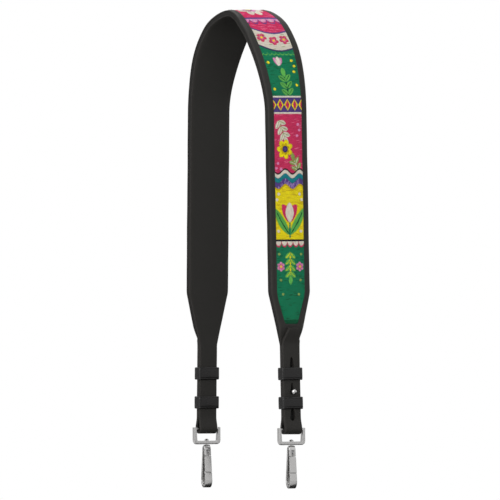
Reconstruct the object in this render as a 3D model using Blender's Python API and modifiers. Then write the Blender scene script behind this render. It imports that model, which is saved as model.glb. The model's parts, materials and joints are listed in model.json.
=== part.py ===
"""Detachable bag strap: a padded leather band with an embroidered panel, two buttoned tongues and two snap hooks.

The frame is +Z up and in metres. The origin is on the shoulder side of the lining at the crest of the arch, +X runs
towards the right leg and +Y across the strap. Each leather ply is cut flat, sliced where the strap bends, and laid
along the one strap path: down a leg, round the ring's bar and up again as the flap.
"""

import math

import bmesh
import bpy
import numpy as np
from mathutils import Matrix, Vector

# Strap path
ARCH_HALF_SPAN = 0.0602
ARCH_HEIGHT = 0.101
ARCH_POWER = 1.8
LEG_SPLAY_SHARE = 0.021
BAND_DROP = 0.290
TAPER_LENGTH = 0.055
NECK_LENGTH = 0.0884
FLAP_LENGTH = 0.1068
FLARE_LENGTH = 0.013
STEP_LENGTH = 0.020
TWIST_SWING = 0.006
TWIST_START_SHARES = (0.0, 0.25)
TWIST_END_SHARES = (0.40, 1.0)

# Leather plies
LEATHER = 0.00125
GLUE = 0.0003
BAND_WIDTH = 0.051
STRAP_WIDTH = 0.022
SHOULDER_RADIUS = 0.020
WAIST_RADIUS = 0.014
FLAP_TIP_LENGTH = 0.0145
FLAP_TIP_WIDTH = 0.0108
TIP_RADIUS = 0.0015
CORE_THICKNESS = 0.0026
CORE_INSET = 0.0004
CORE_END_THICKNESS = 0.0006

# Embroidered panel
BORDER_WIDTH = 0.006
WINDOW_END_WIDTH = 0.0175
WINDOW_TO_WAIST = 0.022
WINDOW_RADIUS = 0.0015
WINDOW_PLAY = 0.0003
CANVAS = 0.0010
CANVAS_HEM = 0.0020

# Buttoning
KEYHOLE_PITCH = 0.0267
KEYHOLE_LENGTH = 0.011
KEYHOLE_WIDTH = 0.0050
KEYHOLE_SLIT = 0.0017
STUD_RISE = 0.0394
STUD_BALL = 0.0060
STUD_NECK = 0.0034
STUD_PLAY = 0.0003
SCREW_SHANK = 0.0018
SCREW_HEAD = 0.0075
SCREW_HEAD_THICKNESS = 0.0005
SCREW_POCKET = 0.00065
SCREW_PLAY = 0.0003

# Keepers
KEEPER_HEIGHT = 0.0130
KEEPER_LEATHER = 0.0012
KEEPER_PLAY = 0.00035
KEEPER_RADIUS = 0.0016
UPPER_KEEPER_RISE = 0.0584
LOWER_KEEPER_RISE = 0.0279

# Ring
RING_WIDTH = 0.0349
RING_HEIGHT = 0.0180
RING_DEPTH = 0.0038
RING_FOOT = 0.00375
RING_ARM = 0.0042
RING_ARM_TOP = 0.0031
RING_CORNER = 0.0045
RING_INNER_CORNER = 0.0010
RING_EDGE = 0.0006
BAR_RADIUS = 0.0018
BAR_PLAY = 0.00035

# Swivel
POST_RADIUS = 0.0011
POST_PLAY = 0.0003
POST_HEAD_RADIUS = 0.0027
POST_HEAD_HEIGHT = 0.0019
POST_GRIP = 0.0032
HOOK_DROP = 0.0005

# Snap hook
HOOK_YAW = -23.0
HOOK_HEIGHT = 0.0450
HOOK_TOP_DEPTH = 0.0100
HOOK_BOW_DEPTH = 0.0175
HOOK_TOP_WIDTH = 0.0068
HOOK_BOW_WIDTH = 0.0081
HOOK_BAR = 0.0031
HOOK_HEAD = 0.0055
HOOK_EDGE = 0.0006
SEAT_FLAT = 0.0030
NOSE_HEIGHT = 0.0143
NOSE_LIP = 0.0018
NOSE_LIP_SHARE = 0.5
PIN_DROP = 0.0072
PIN_RADIUS = 0.00075
PIN_PLAY = 0.00015
LUG_RADIUS = 0.0019
LUG_WIDTH = 0.0030
FORK_WIDTH = 0.0036
EAR_DROP = 0.0043
GATE_GAP = 0.0004
GATE_EDGE = 0.0004
SPRING_WIRE = 0.00025
SPRING_RADIUS = 0.00122
SPRING_PITCH = 0.00056
SPRING_TURNS = 2
SPRING_LEG = 0.0058
SPRING_ANCHOR = 0.0034
SPRING_ROOM = 0.0016
GROOVE_DEPTH = 0.0010

# Working values
OVERRUN = 0.0020
WELD = 0.000001
SLIVER = 0.00003
DRAWN_SCALE = 1000
FLAT_ANGLE = math.radians(0.1)
ARCH_STEPS = 28
ARCH_ROWS = 5
STEP_STEPS = 8
FLARE_STEPS = 5
FOLD_STEPS = 10
CORNER_STEPS = 4
ROUND_STEPS = 24
SMALL_ROUND_STEPS = 14
BOW_STEPS = 18
CROWN_STEPS = 10
COIL_STEPS = 12

# Derived sizes
TONGUE = 2 * LEATHER + GLUE
STACK = 2 * TONGUE + GLUE
CORE_RIM = CORE_THICKNESS + GLUE + CANVAS
BAND_STEP = CORE_RIM + GLUE
WAIST_DROP = BAND_DROP + TAPER_LENGTH
BAR_DROP = WAIST_DROP + NECK_LENGTH
FOLD_RADIUS = BAR_RADIUS + BAR_PLAY + TONGUE
WINDOW_END_DROP = WAIST_DROP - WINDOW_TO_WAIST
TILT = math.atan(LEG_SPLAY_SHARE)
SIDES = {"left": -1, "right": 1}


def smooth(share):
    """Rises from 0 to 1 with level ends."""
    share = min(max(share, 0.0), 1.0)
    return share * share * (3 - 2 * share)


def clear_scene():
    for obj in list(bpy.data.objects):
        bpy.data.objects.remove(obj, do_unlink=True)


def make_collection(name, helper=False):
    collection = bpy.data.collections.new(name)
    bpy.context.scene.collection.children.link(collection)
    collection.hide_render = helper
    return collection


def make_material(name, color, roughness, metallic=0.0):
    material = bpy.data.materials.new(name)
    material.use_nodes = True
    shader = material.node_tree.nodes["Principled BSDF"]
    shader.inputs["Base Color"].default_value = (*color, 1)
    shader.inputs["Roughness"].default_value = roughness
    shader.inputs["Metallic"].default_value = metallic
    material.diffuse_color = (*color, 1)
    return material


clear_scene()
STRAP = make_collection("detachable_bag_strap")
CUTTERS = make_collection("cutters", helper=True)
MATERIALS = {
    "smooth_leather": make_material("smooth_leather", (0.030, 0.029, 0.028), 0.5),
    "lining_leather": make_material("lining_leather", (0.034, 0.033, 0.031), 0.6),
    "padding": make_material("padding", (0.05, 0.048, 0.045), 0.9),
    "embroidery": make_material("embroidery", (0.58, 0.05, 0.15), 0.75),
    "nickel": make_material("nickel", (0.62, 0.61, 0.58), 0.25, 1.0),
    "steel": make_material("steel", (0.45, 0.45, 0.46), 0.35, 1.0),
}


def add_node(name, mesh, material, smooth_angle=30):
    mesh.materials.clear()
    mesh.materials.append(MATERIALS[material])
    mesh.shade_smooth()
    mesh.set_sharp_from_angle(angle=math.radians(smooth_angle))
    node = bpy.data.objects.new(name, mesh)
    STRAP.objects.link(node)
    return node


def add_cutter(name, mesh):
    cutter = bpy.data.objects.new(name, mesh)
    CUTTERS.objects.link(cutter)
    cutter.display_type = "WIRE"
    cutter.hide_render = True
    return cutter


def place_like(obj, origin, rotation=(0, 0, 0)):
    obj.location = origin
    obj.rotation_euler = rotation


def combine(node, other, operation):
    boolean = node.modifiers.new(other.name, "BOOLEAN")
    boolean.operation = operation
    boolean.object = other
    boolean.solver = "EXACT"


def add_bevel(node, width, segments=2, angle=40):
    bevel = node.modifiers.new("edges", "BEVEL")
    bevel.width = width
    bevel.segments = segments
    bevel.limit_method = "ANGLE"
    bevel.angle_limit = math.radians(angle)


def mesh_of(obj, enlarged=1):
    """The object's evaluated mesh as a new mesh, brought back to size and with loose caps welded."""
    bpy.context.view_layer.update()
    evaluated = obj.evaluated_get(bpy.context.evaluated_depsgraph_get())
    mesh = bpy.data.meshes.new_from_object(evaluated)
    mesh.transform(Matrix.Scale(1 / enlarged, 4))
    bm = bmesh.new()
    bm.from_mesh(mesh)
    bmesh.ops.remove_doubles(bm, verts=bm.verts, dist=WELD)
    bmesh.ops.recalc_face_normals(bm, faces=bm.faces)
    bm.to_mesh(mesh)
    bm.free()
    return mesh


def plate(name, outlines, low, high):
    """A flat solid between two heights from closed outlines in XY, of which the later ones are holes.

    It is drawn enlarged, because a curve's fill is coarse at small sizes, and then brought back to size.
    """
    data = bpy.data.curves.new(name, "CURVE")
    data.dimensions = "2D"
    data.fill_mode = "BOTH"
    data.extrude = (high - low) / 2 * DRAWN_SCALE
    for outline in outlines:
        spline = data.splines.new("POLY")
        spline.points.add(len(outline) - 1)
        for point, (x, y) in zip(spline.points, outline):
            point.co = (x * DRAWN_SCALE, y * DRAWN_SCALE, 0, 1)
        spline.use_cyclic_u = True
    drawn = bpy.data.objects.new(name, data)
    CUTTERS.objects.link(drawn)
    mesh = mesh_of(drawn, DRAWN_SCALE)
    bpy.data.objects.remove(drawn, do_unlink=True)
    mesh.transform(Matrix.Translation((0, 0, (low + high) / 2)))
    bm = bmesh.new()
    bm.from_mesh(mesh)
    bmesh.ops.dissolve_degenerate(bm, dist=WELD, edges=bm.edges)
    bmesh.ops.dissolve_limit(bm, angle_limit=FLAT_ANGLE, verts=bm.verts, edges=bm.edges)
    bm.to_mesh(mesh)
    bm.free()
    return mesh


def cut_ply(name, outline, low, high, holes, pockets=()):
    """A flat ply with holes through it, and with any pockets, which are cutters in place."""
    ply = bpy.data.objects.new(name, plate(name, [outline], low, high))
    CUTTERS.objects.link(ply)
    cutters = [add_cutter(name, plate(name, [hole], low - OVERRUN, high + OVERRUN)) for hole in holes]
    cutters += pockets
    for cutter in cutters:
        combine(ply, cutter, "DIFFERENCE")
    mesh = mesh_of(ply)
    for used in cutters + [ply]:
        bpy.data.objects.remove(used, do_unlink=True)
    return mesh


def cylinder_mesh(name, radius, low, high, steps=ROUND_STEPS):
    mesh = bpy.data.meshes.new(name)
    bm = bmesh.new()
    bmesh.ops.create_cone(
        bm, cap_ends=True, segments=steps, radius1=radius, radius2=radius, depth=high - low
    )
    bmesh.ops.translate(bm, verts=bm.verts, vec=(0, 0, (low + high) / 2))
    bm.to_mesh(mesh)
    bm.free()
    return mesh


def box_mesh(name, low, high):
    mesh = bpy.data.meshes.new(name)
    bm = bmesh.new()
    bmesh.ops.create_cube(bm, size=1)
    size = Vector(high) - Vector(low)
    bmesh.ops.scale(bm, verts=bm.verts, vec=size)
    bmesh.ops.translate(bm, verts=bm.verts, vec=(Vector(low) + Vector(high)) / 2)
    bm.to_mesh(mesh)
    bm.free()
    return mesh


def rounded(corners, steps=CORNER_STEPS):
    """A closed outline through (x, y, radius) corners, with an arc where the radius isn't 0."""
    outline = []
    for i, (x, y, radius) in enumerate(corners):
        here = Vector((x, y))
        before = Vector(corners[i - 1][:2]) - here
        after = Vector(corners[(i + 1) % len(corners)][:2]) - here
        turn = math.pi - before.angle(after)
        if not radius or turn < FLAT_ANGLE:
            outline.append((x, y))
            continue
        reach = min(radius * math.tan(turn / 2), before.length / 2, after.length / 2)
        radius = reach / math.tan(turn / 2)
        centre = here + (before.normalized() + after.normalized()).normalized() * (
            radius / math.cos(turn / 2)
        )
        start = here + before.normalized() * reach - centre
        bend_way = math.copysign(1, before.x * after.y - before.y * after.x)
        for step in range(steps + 1):
            spun = start.copy()
            spun.rotate(Matrix.Rotation(-bend_way * turn * step / steps, 2))
            outline.append(tuple(centre + spun))
    return outline


def arc(centre, radius, start, end, steps):
    """Points of an arc from one angle to another, both included."""
    angles = np.linspace(start, end, steps + 1)
    return [
        (centre[0] + radius * math.cos(a), centre[1] + radius * math.sin(a)) for a in angles
    ]


def turned(name, profile, steps=ROUND_STEPS):
    """A mesh turned about Z from an (r, z) profile that runs down its outer side."""
    bm = bmesh.new()
    verts = [bm.verts.new((r, 0, z)) for r, z in profile]
    for first, second in zip(verts, verts[1:]):
        bm.edges.new((first, second))
    mesh = bpy.data.meshes.new(name)
    bm.to_mesh(mesh)
    bm.free()
    drawn = bpy.data.objects.new(name, mesh)
    CUTTERS.objects.link(drawn)
    screw = drawn.modifiers.new("turn", "SCREW")
    screw.axis = "Z"
    screw.steps = screw.render_steps = steps
    screw.use_merge_vertices = True
    screw.merge_threshold = WELD
    made = mesh_of(drawn)
    bpy.data.objects.remove(drawn, do_unlink=True)
    return made


class StrapPath:
    """The shoulder side of the strap in the XZ plane, from the crest down one leg, round the bar and up the flap.

    Lengths along it are measured from the crest. The other leg is its mirror image.
    """

    def __init__(self):
        self.down = Vector((LEG_SPLAY_SHARE, -1)).normalized()
        self.out = Vector((1, LEG_SPLAY_SHARE)).normalized()
        self.bar = self.leg(BAR_DROP) + self.out * (STACK / 2)
        self.points = []
        self.drops = []
        self.draw_arch()
        self.draw_leg()
        self.draw_fold()
        self.draw_flap()
        self.measure()

    def leg(self, drop):
        return Vector((ARCH_HALF_SPAN + LEG_SPLAY_SHARE * drop, -drop))

    def band_rise(self, drop):
        """How far the outer ply stands above where it lies on the tongue."""
        return BAND_STEP * (1 - smooth((drop - (WAIST_DROP - STEP_LENGTH)) / STEP_LENGTH))

    def add(self, point, drop):
        self.points.append(Vector(point))
        self.drops.append(drop)

    def draw_arch(self):
        power = 2 / ARCH_POWER
        for step in range(ARCH_STEPS + 1):
            angle = math.pi / 2 * step / ARCH_STEPS
            drop = ARCH_HEIGHT * (1 - max(math.cos(angle), 0) ** power)
            self.add((ARCH_HALF_SPAN * math.sin(angle) ** power + LEG_SPLAY_SHARE * drop, -drop), drop)

    def draw_leg(self):
        steps = [WAIST_DROP - STEP_LENGTH * (1 - step / STEP_STEPS) for step in range(STEP_STEPS + 1)]
        for drop in sorted({BAND_DROP, WINDOW_END_DROP, *steps}):
            self.add(self.leg(drop), drop)

    def beside_bar(self, along, side):
        """A point beside the bar, where the two plies of the stack part to pass it."""
        part = (FOLD_RADIUS - STACK / 2) * smooth(1 + along / FLARE_LENGTH)
        return self.bar + self.down * along + self.out * side * (STACK / 2 + part)

    def draw_fold(self):
        for step in range(FLARE_STEPS):
            along = FLARE_LENGTH * (step / FLARE_STEPS - 1)
            self.add(self.beside_bar(along, -1), BAR_DROP + along)
        for step in range(FOLD_STEPS + 1):
            angle = math.pi * step / FOLD_STEPS
            turn = self.down * math.sin(angle) - self.out * math.cos(angle)
            self.add(self.bar + turn * FOLD_RADIUS, BAR_DROP)
        self.fold_end = len(self.points) - 1
        for step in range(FLARE_STEPS):
            along = -FLARE_LENGTH * (step + 1) / FLARE_STEPS
            self.add(self.beside_bar(along, 1), BAR_DROP + along)

    def draw_flap(self):
        """Up the outside of the leg, one tongue and a glue line above the outer ply, over the band's step."""
        tip = BAR_DROP - FLAP_LENGTH
        low = WAIST_DROP
        high = min(WAIST_DROP - STEP_LENGTH, tip)
        heights = [low - (low - high) * step / STEP_STEPS for step in range(STEP_STEPS + 1)]
        for drop in [height for height in heights if height > tip + TIP_RADIUS] + [tip]:
            self.add(self.flap_point(drop), drop)

    def flap_point(self, drop):
        step = STEP_LENGTH / STEP_STEPS / 2
        slope = (self.band_rise(drop - step) - self.band_rise(drop + step)) / (2 * step)
        normal = (self.out + self.down * slope).normalized()
        top = self.leg(drop) + self.out * (TONGUE + self.band_rise(drop))
        return top + normal * (TONGUE + GLUE)

    def measure(self):
        points = [(-self.points[1].x, self.points[1].y)] + [tuple(p) for p in self.points]
        points = np.array(points)
        steps = np.diff(points, axis=0)
        lengths = np.linalg.norm(steps, axis=1)
        normals = np.stack([-steps[:, 1], steps[:, 0]], axis=1) / lengths[:, None]
        mean = np.vstack([normals[:-1] + normals[1:], 2 * normals[-1:]])
        mean /= np.linalg.norm(mean, axis=1)[:, None]
        reach = np.append((mean[:-1] * normals[1:]).sum(axis=1), 1)
        self.normals = mean / reach[:, None]
        self.lengths = np.append(0, np.cumsum(lengths[1:]))
        self.xz = points[1:]
        self.total = self.lengths[-1]
        self.arch_length = self.lengths[ARCH_STEPS]

    def on_tail(self, drop):
        """The length along the path at a drop below the crest, on the way down."""
        last = self.fold_end - FOLD_STEPS
        return float(np.interp(drop, self.drops[: last + 1], self.lengths[: last + 1]))

    def on_flap(self, drop):
        """The length along the path at a drop below the crest, on the way up."""
        up = slice(self.fold_end, None)
        return float(np.interp(-drop, [-d for d in self.drops[up]], self.lengths[up]))

    def twist(self, length):
        """How far the band's near edge swings back, and its far edge on, per metre across the strap."""
        share = length / self.arch_length
        start, full = TWIST_START_SHARES
        fade, end = TWIST_END_SHARES
        rise = smooth((share - start) / (full - start))
        fall = smooth((share - fade) / (end - fade))
        return rise * (1 - fall) * TWIST_SWING / (BAND_WIDTH / 2)

    def stations(self, reach):
        inside = [float(s) for s in self.lengths[1:] if s < reach]
        return [-s for s in reversed(inside)] + [0.0] + inside

    def place(self, length, across, height):
        far = abs(length)
        x, z = (np.interp(far, self.lengths, self.xz[:, k]) for k in (0, 1))
        out_x, out_z = (np.interp(far, self.lengths, self.normals[:, k]) for k in (0, 1))
        side = -1 if length < 0 else 1
        x = side * (x + out_x * height) + self.twist(far) * across
        return Vector((x, across, z + out_z * height))


PATH = StrapPath()


def slice_across(bm, geometry, axis, place):
    """Slices a flat ply. Corners that lie too close to the slice for a sound facet are first moved onto it."""
    for vert in bm.verts:
        if abs(vert.co[axis] - place) < SLIVER:
            vert.co[axis] = place
    along = Vector((0, 0, 0))
    along[axis] = 1
    bmesh.ops.bisect_plane(bm, geom=geometry, dist=WELD, plane_co=along * place, plane_no=along)


def lay_on_path(mesh, height_at):
    """Slices a flat ply at each bend of the path and lays it there. height_at(length, z) is its height off the path.

    Its facets end as triangles, because a laid face with more corners is not quite flat.
    """
    bm = bmesh.new()
    bm.from_mesh(mesh)
    reach = max(abs(v.co.x) for v in bm.verts)
    for station in PATH.stations(reach):
        slice_across(bm, bm.verts[:] + bm.edges[:] + bm.faces[:], 0, station)
    for row in range(ARCH_ROWS):
        geometry = [v for v in bm.verts if abs(v.co.x) < PATH.arch_length + WELD]
        inside = set(geometry)
        geometry += [e for e in bm.edges if inside.issuperset(e.verts)]
        geometry += [f for f in bm.faces if inside.issuperset(f.verts)]
        across = BAND_WIDTH * ((row + 1) / (ARCH_ROWS + 1) - 1 / 2)
        slice_across(bm, geometry, 1, across)
    for vert in bm.verts:
        vert.co = PATH.place(vert.co.x, vert.co.y, height_at(abs(vert.co.x), vert.co.z))
    bmesh.ops.dissolve_limit(bm, angle_limit=FLAT_ANGLE, verts=bm.verts, edges=bm.edges)
    bmesh.ops.triangulate(bm, faces=bm.faces)
    bmesh.ops.recalc_face_normals(bm, faces=bm.faces)
    bm.to_mesh(mesh)
    bm.free()
    return mesh


def rise_at(length):
    """The rise of the outer ply at a length along the path: none past the waist."""
    if length >= PATH.on_tail(WAIST_DROP):
        return 0.0
    drops = PATH.drops[: PATH.fold_end]
    return PATH.band_rise(float(np.interp(length, PATH.lengths[: PATH.fold_end], drops)))


def both_ways(half):
    """Closes corners along one long edge, crest to right end, into an outline that is alike on all four sides."""
    right = [(s, y, r) for s, y, r in half]
    left = [(-s, y, r) for s, y, r in reversed(half)]
    top = left + right
    return top + [(s, -y, r) for s, y, r in reversed(top)]


def band_half_width(drop):
    share = (drop - BAND_DROP) / TAPER_LENGTH
    share = min(max(share, 0.0), 1.0)
    return BAND_WIDTH / 2 + share * (STRAP_WIDTH - BAND_WIDTH) / 2


def strap_outline():
    """The whole strap, flap tip to flap tip."""
    tip = PATH.total
    half = [
        (PATH.on_tail(BAND_DROP), BAND_WIDTH / 2, SHOULDER_RADIUS),
        (PATH.on_tail(WAIST_DROP), STRAP_WIDTH / 2, WAIST_RADIUS),
        (tip - FLAP_TIP_LENGTH, STRAP_WIDTH / 2, TIP_RADIUS),
        (tip, FLAP_TIP_WIDTH / 2, TIP_RADIUS),
    ]
    return rounded(both_ways(half))


def window_outline(grow):
    """The opening in the outer ply, grown outwards on all sides."""
    half = [
        (PATH.on_tail(BAND_DROP), BAND_WIDTH / 2 - BORDER_WIDTH + grow, SHOULDER_RADIUS),
        (PATH.on_tail(WINDOW_END_DROP) + grow, WINDOW_END_WIDTH / 2 + grow, WINDOW_RADIUS),
    ]
    return rounded(both_ways(half))


def core_outline():
    """The padding, just inside the band's edges, ending where the step leaves it too thin."""
    end = PATH.on_tail(WAIST_DROP)
    while rise_at(end) < CORE_END_THICKNESS + GLUE:
        end -= OVERRUN / 4
    drop = float(np.interp(end, PATH.lengths[: PATH.fold_end], PATH.drops[: PATH.fold_end]))
    half = [
        (PATH.on_tail(BAND_DROP), BAND_WIDTH / 2 - CORE_INSET, SHOULDER_RADIUS),
        (end, band_half_width(drop) - CORE_INSET, 0),
    ]
    return rounded(both_ways(half))


def keyhole(length):
    """A round hole at a length along the path, with a slit that runs from it towards the flap's tip."""
    wide, slit = KEYHOLE_WIDTH / 2, KEYHOLE_SLIT / 2
    top = length + KEYHOLE_LENGTH - wide
    mouth = math.asin(slit / wide)
    round_end = arc((length, 0), wide, mouth, 2 * math.pi - mouth, 2 * CORNER_STEPS)
    return round_end + [(top, -slit), (top, slit)]


def flap_keyholes():
    """The keyholes of both flaps: the studs stand in the wide ends of the middle ones."""
    holes = []
    for side in SIDES.values():
        for row in (-1, 0, 1):
            length = PATH.on_flap(BAR_DROP - STUD_RISE - row * KEYHOLE_PITCH)
            holes.append([(side * x, y) for x, y in keyhole(length)])
    return holes


def stud_holes(radius):
    middle = PATH.on_tail(BAR_DROP - STUD_RISE)
    return [arc((side * middle, 0), radius, 0, 2 * math.pi, SMALL_ROUND_STEPS)[:-1] for side in SIDES.values()]


def make_lining():
    mesh = cut_ply("lining", strap_outline(), 0, LEATHER, flap_keyholes())
    lay_on_path(mesh, lambda length, z: z)
    add_node("lining", mesh, "lining_leather")


def make_core():
    """The padding, recessed for the canvas. Under the outer ply's step its height is a share of the room there."""
    low = LEATHER + GLUE
    recess = plate("canvas_recess", [window_outline(CANVAS_HEM + GLUE)], CORE_THICKNESS, CORE_RIM + OVERRUN)
    mesh = cut_ply("core", core_outline(), 0, CORE_RIM, [], [add_cutter("canvas_recess", recess)])

    def height(length, z):
        room = min(CORE_RIM, rise_at(length) - GLUE)
        return low + z / CORE_RIM * room

    lay_on_path(mesh, height)
    add_node("core", mesh, "padding")


def make_front_border():
    low = LEATHER + GLUE
    holes = [window_outline(0)] + flap_keyholes() + stud_holes(SCREW_SHANK / 2 + SCREW_PLAY)
    pockets = []
    for side in SIDES.values():
        pocket = cylinder_mesh("screw_pocket", SCREW_HEAD / 2 + SCREW_PLAY, low - OVERRUN, low + SCREW_POCKET)
        pockets.append(add_cutter("screw_pocket", pocket))
        pockets[-1].location.x = side * PATH.on_tail(BAR_DROP - STUD_RISE)
    mesh = cut_ply("front_border", strap_outline(), low, low + LEATHER, holes, pockets)
    lay_on_path(mesh, lambda length, z: z + rise_at(length))
    add_node("front_border", mesh, "smooth_leather")


def make_embroidered_panel():
    """Canvas held under the border's edge, and on it the raised field of thread that fills the window."""
    low = LEATHER + GLUE + CORE_THICKNESS + GLUE
    canvas = plate("canvas", [window_outline(CANVAS_HEM)], low, low + CANVAS)
    field = plate("field", [window_outline(-WINDOW_PLAY)], low + CANVAS / 2, low + CANVAS + GLUE + LEATHER)
    panel = bpy.data.objects.new("flat_panel", canvas)
    CUTTERS.objects.link(panel)
    raised = add_cutter("flat_field", field)
    combine(panel, raised, "UNION")
    mesh = mesh_of(panel)
    for used in (raised, panel):
        bpy.data.objects.remove(used, do_unlink=True)
    lay_on_path(mesh, lambda length, z: z)
    add_node("embroidered_panel", mesh, "embroidery")


def leg_place(side, rise, height):
    """A place above the ring's bar along a leg, at a height off its shoulder side."""
    point = PATH.bar - PATH.out * (STACK / 2) - PATH.down * rise + PATH.out * height
    return (side * point.x, 0, point.y)


def stud_turn(side):
    """Turns +Z to point out of the leg."""
    return (0, side * (math.pi / 2 - TILT), 0)


def make_stud(label, side):
    """A ball on a neck that stands on the tongue, bored from below for its screw."""
    ball = STUD_BALL / 2
    neck = STUD_NECK / 2
    neck_top = STACK - TONGUE + STUD_PLAY
    centre = neck_top + math.sqrt(ball**2 - neck**2)
    bore = SCREW_SHANK / 2 + SCREW_PLAY
    start = math.asin(neck / ball)
    ball_arc = arc((0, centre), ball, math.pi / 2, -math.pi / 2 + start, CORNER_STEPS * 2)
    profile = [(0, centre + ball)] + ball_arc[1:]
    profile += [(neck, GLUE), (bore, GLUE), (bore, centre), (0, centre)]
    node = add_node(f"{label}_stud", turned("stud", profile), "nickel")
    place_like(node, leg_place(side, STUD_RISE, TONGUE), stud_turn(side))


def make_stud_screw(label, side):
    """A flat head between the tongue's plies and a shank up into the stud."""
    head = SCREW_HEAD / 2
    shank = SCREW_SHANK / 2
    top = GLUE + STUD_BALL / 2
    high = -LEATHER + SCREW_POCKET - SCREW_PLAY / 2
    low = high - SCREW_HEAD_THICKNESS
    profile = [(0, top), (shank, top), (shank, high), (head, high), (head, low), (0, low)]
    node = add_node(f"{label}_stud_screw", turned("stud_screw", profile), "steel")
    place_like(node, leg_place(side, STUD_RISE, TONGUE), stud_turn(side))


def rectangle(width, height, radius):
    x, y = width / 2, height / 2
    return rounded([(-x, -y, radius), (x, -y, radius), (x, y, radius), (-x, y, radius)])


def make_keeper(name, side, rise):
    """A leather loop round the tongue and its flap, closed at a butt seam on the shoulder side."""
    room_x, room_y = STACK + 2 * KEEPER_PLAY, STRAP_WIDTH + 2 * KEEPER_PLAY
    wall = 2 * KEEPER_LEATHER
    outer = rectangle(room_x + wall, room_y + wall, KEEPER_RADIUS)
    inner = rectangle(room_x, room_y, KEEPER_RADIUS - KEEPER_LEATHER)
    mesh = plate(name, [outer, inner], -KEEPER_HEIGHT / 2, KEEPER_HEIGHT / 2)
    node = add_node(name, mesh, "smooth_leather")
    place_like(node, leg_place(side, rise, STACK / 2), (0, -side * TILT, 0))


def ring_bar(side):
    return Vector((side * PATH.bar.x, 0, PATH.bar.y))


def ring_outline():
    """The U of two arms and a foot, in (y, z) from the upper bar's centre."""
    top = BAR_RADIUS
    bottom = top - RING_HEIGHT
    half = RING_WIDTH / 2
    inner = half - RING_ARM
    corners = [
        (half, bottom, RING_CORNER),
        (half, top, RING_EDGE),
        (half - RING_ARM_TOP, top, RING_EDGE),
        (inner, bottom + RING_FOOT, RING_INNER_CORNER),
    ]
    mirrored = [(-y, z, r) for y, z, r in reversed(corners)]
    return rounded(corners + mirrored)


def make_ring(label, side):
    """A cast frame: a flat U, the round bar that closes it, and a bore through its foot for the post."""
    origin = ring_bar(side)
    upright = (math.pi / 2, 0, math.pi / 2)
    frame = plate("ring", [ring_outline()], -RING_DEPTH / 2, RING_DEPTH / 2)
    node = add_node(f"{label}_ring", frame, "nickel")
    place_like(node, origin, upright)
    add_bevel(node, RING_EDGE)
    reach = RING_WIDTH / 2 - RING_ARM_TOP / 2
    bar = add_cutter(f"{label}_ring_bar", cylinder_mesh("ring_bar", BAR_RADIUS, -reach, reach, SMALL_ROUND_STEPS))
    place_like(bar, origin, (math.pi / 2, 0, 0))
    combine(node, bar, "UNION")
    foot = origin.z + BAR_RADIUS - RING_HEIGHT
    bore = cylinder_mesh("ring_bore", POST_RADIUS + POST_PLAY, -OVERRUN, RING_FOOT + OVERRUN)
    cutter = add_cutter(f"{label}_ring_bore", bore)
    place_like(cutter, (origin.x, 0, foot))
    combine(node, cutter, "DIFFERENCE")


def hook_top(side):
    """The top of the hook on the swivel's axis."""
    bar = ring_bar(side)
    return Vector((bar.x, 0, bar.z + BAR_RADIUS - RING_HEIGHT - HOOK_DROP))


def make_swivel_post(label, side):
    """A domed rivet: its head rests on the ring's foot and its shank is fast in the hook's head."""
    grip = -POST_GRIP
    head_low = HOOK_DROP + RING_FOOT + POST_PLAY
    dome_rise = POST_HEAD_HEIGHT
    radius = (POST_HEAD_RADIUS**2 + dome_rise**2) / (2 * dome_rise)
    centre = head_low + dome_rise - radius
    rim = math.asin(POST_HEAD_RADIUS / radius)
    dome = arc((0, centre), radius, math.pi / 2, math.pi / 2 - rim, CORNER_STEPS)
    profile = [(0, head_low + dome_rise)] + dome[1:]
    profile += [(POST_RADIUS, head_low), (POST_RADIUS, grip), (0, grip)]
    node = add_node(f"{label}_swivel_post", turned("swivel_post", profile, SMALL_ROUND_STEPS), "nickel")
    place_like(node, hook_top(side))


def hook_turn():
    """Stands an (h, z) outline upright, with h towards the gate and the width along the hook's own axis."""
    return (math.pi / 2, 0, math.radians(HOOK_YAW))


class HookShape:
    """The hook's side view in (h, z), from its top on the swivel's axis. The gate is on the +h side."""

    def __init__(self):
        self.outer = (HOOK_TOP_DEPTH / 2, -HOOK_TOP_DEPTH / 2), (HOOK_BOW_DEPTH / 2, HOOK_BOW_DEPTH / 2 - HOOK_HEIGHT)
        eye_bow = HOOK_BOW_DEPTH / 2 - HOOK_BAR
        eye_top = HOOK_TOP_DEPTH / 2 - HOOK_BAR
        self.eye = (eye_top, -HOOK_HEAD - eye_top), (eye_bow, self.outer[1][1])
        self.pin = (self.side(self.outer, -PIN_DROP) + self.side(self.eye, -PIN_DROP)) / 2

    def lean(self, shape):
        (top, top_z), (bow, bow_z) = shape
        return math.asin((bow - top) / (top_z - bow_z))

    def side(self, shape, z):
        """How far the shape's straight side stands from the axis at a height."""
        (top, top_z), _ = shape
        lean = self.lean(shape)
        return top / math.cos(lean) + (top_z - z) * math.tan(lean)

    def bow(self, shape, start, end, steps):
        (_, _), (radius, z) = shape
        return arc((0, z), radius, start, end, steps)

    def crown(self, shape, start, end, steps):
        (radius, z), (_, _) = shape
        return arc((0, z), radius, start, end, steps)


HOOK = HookShape()


def narrow_with_height(mesh):
    """Draws the hook's width in from the bow to the top."""
    for vert in mesh.vertices:
        share = min(max(-vert.co.y / HOOK_HEIGHT, 0), 1)
        width = HOOK_TOP_WIDTH + share * (HOOK_BOW_WIDTH - HOOK_TOP_WIDTH)
        vert.co.z *= width / HOOK_BOW_WIDTH


def nose_levels():
    """The heights of the nose's inner step and of its outer lip."""
    step = -HOOK_HEIGHT + NOSE_HEIGHT
    return step, step + NOSE_LIP


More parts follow.
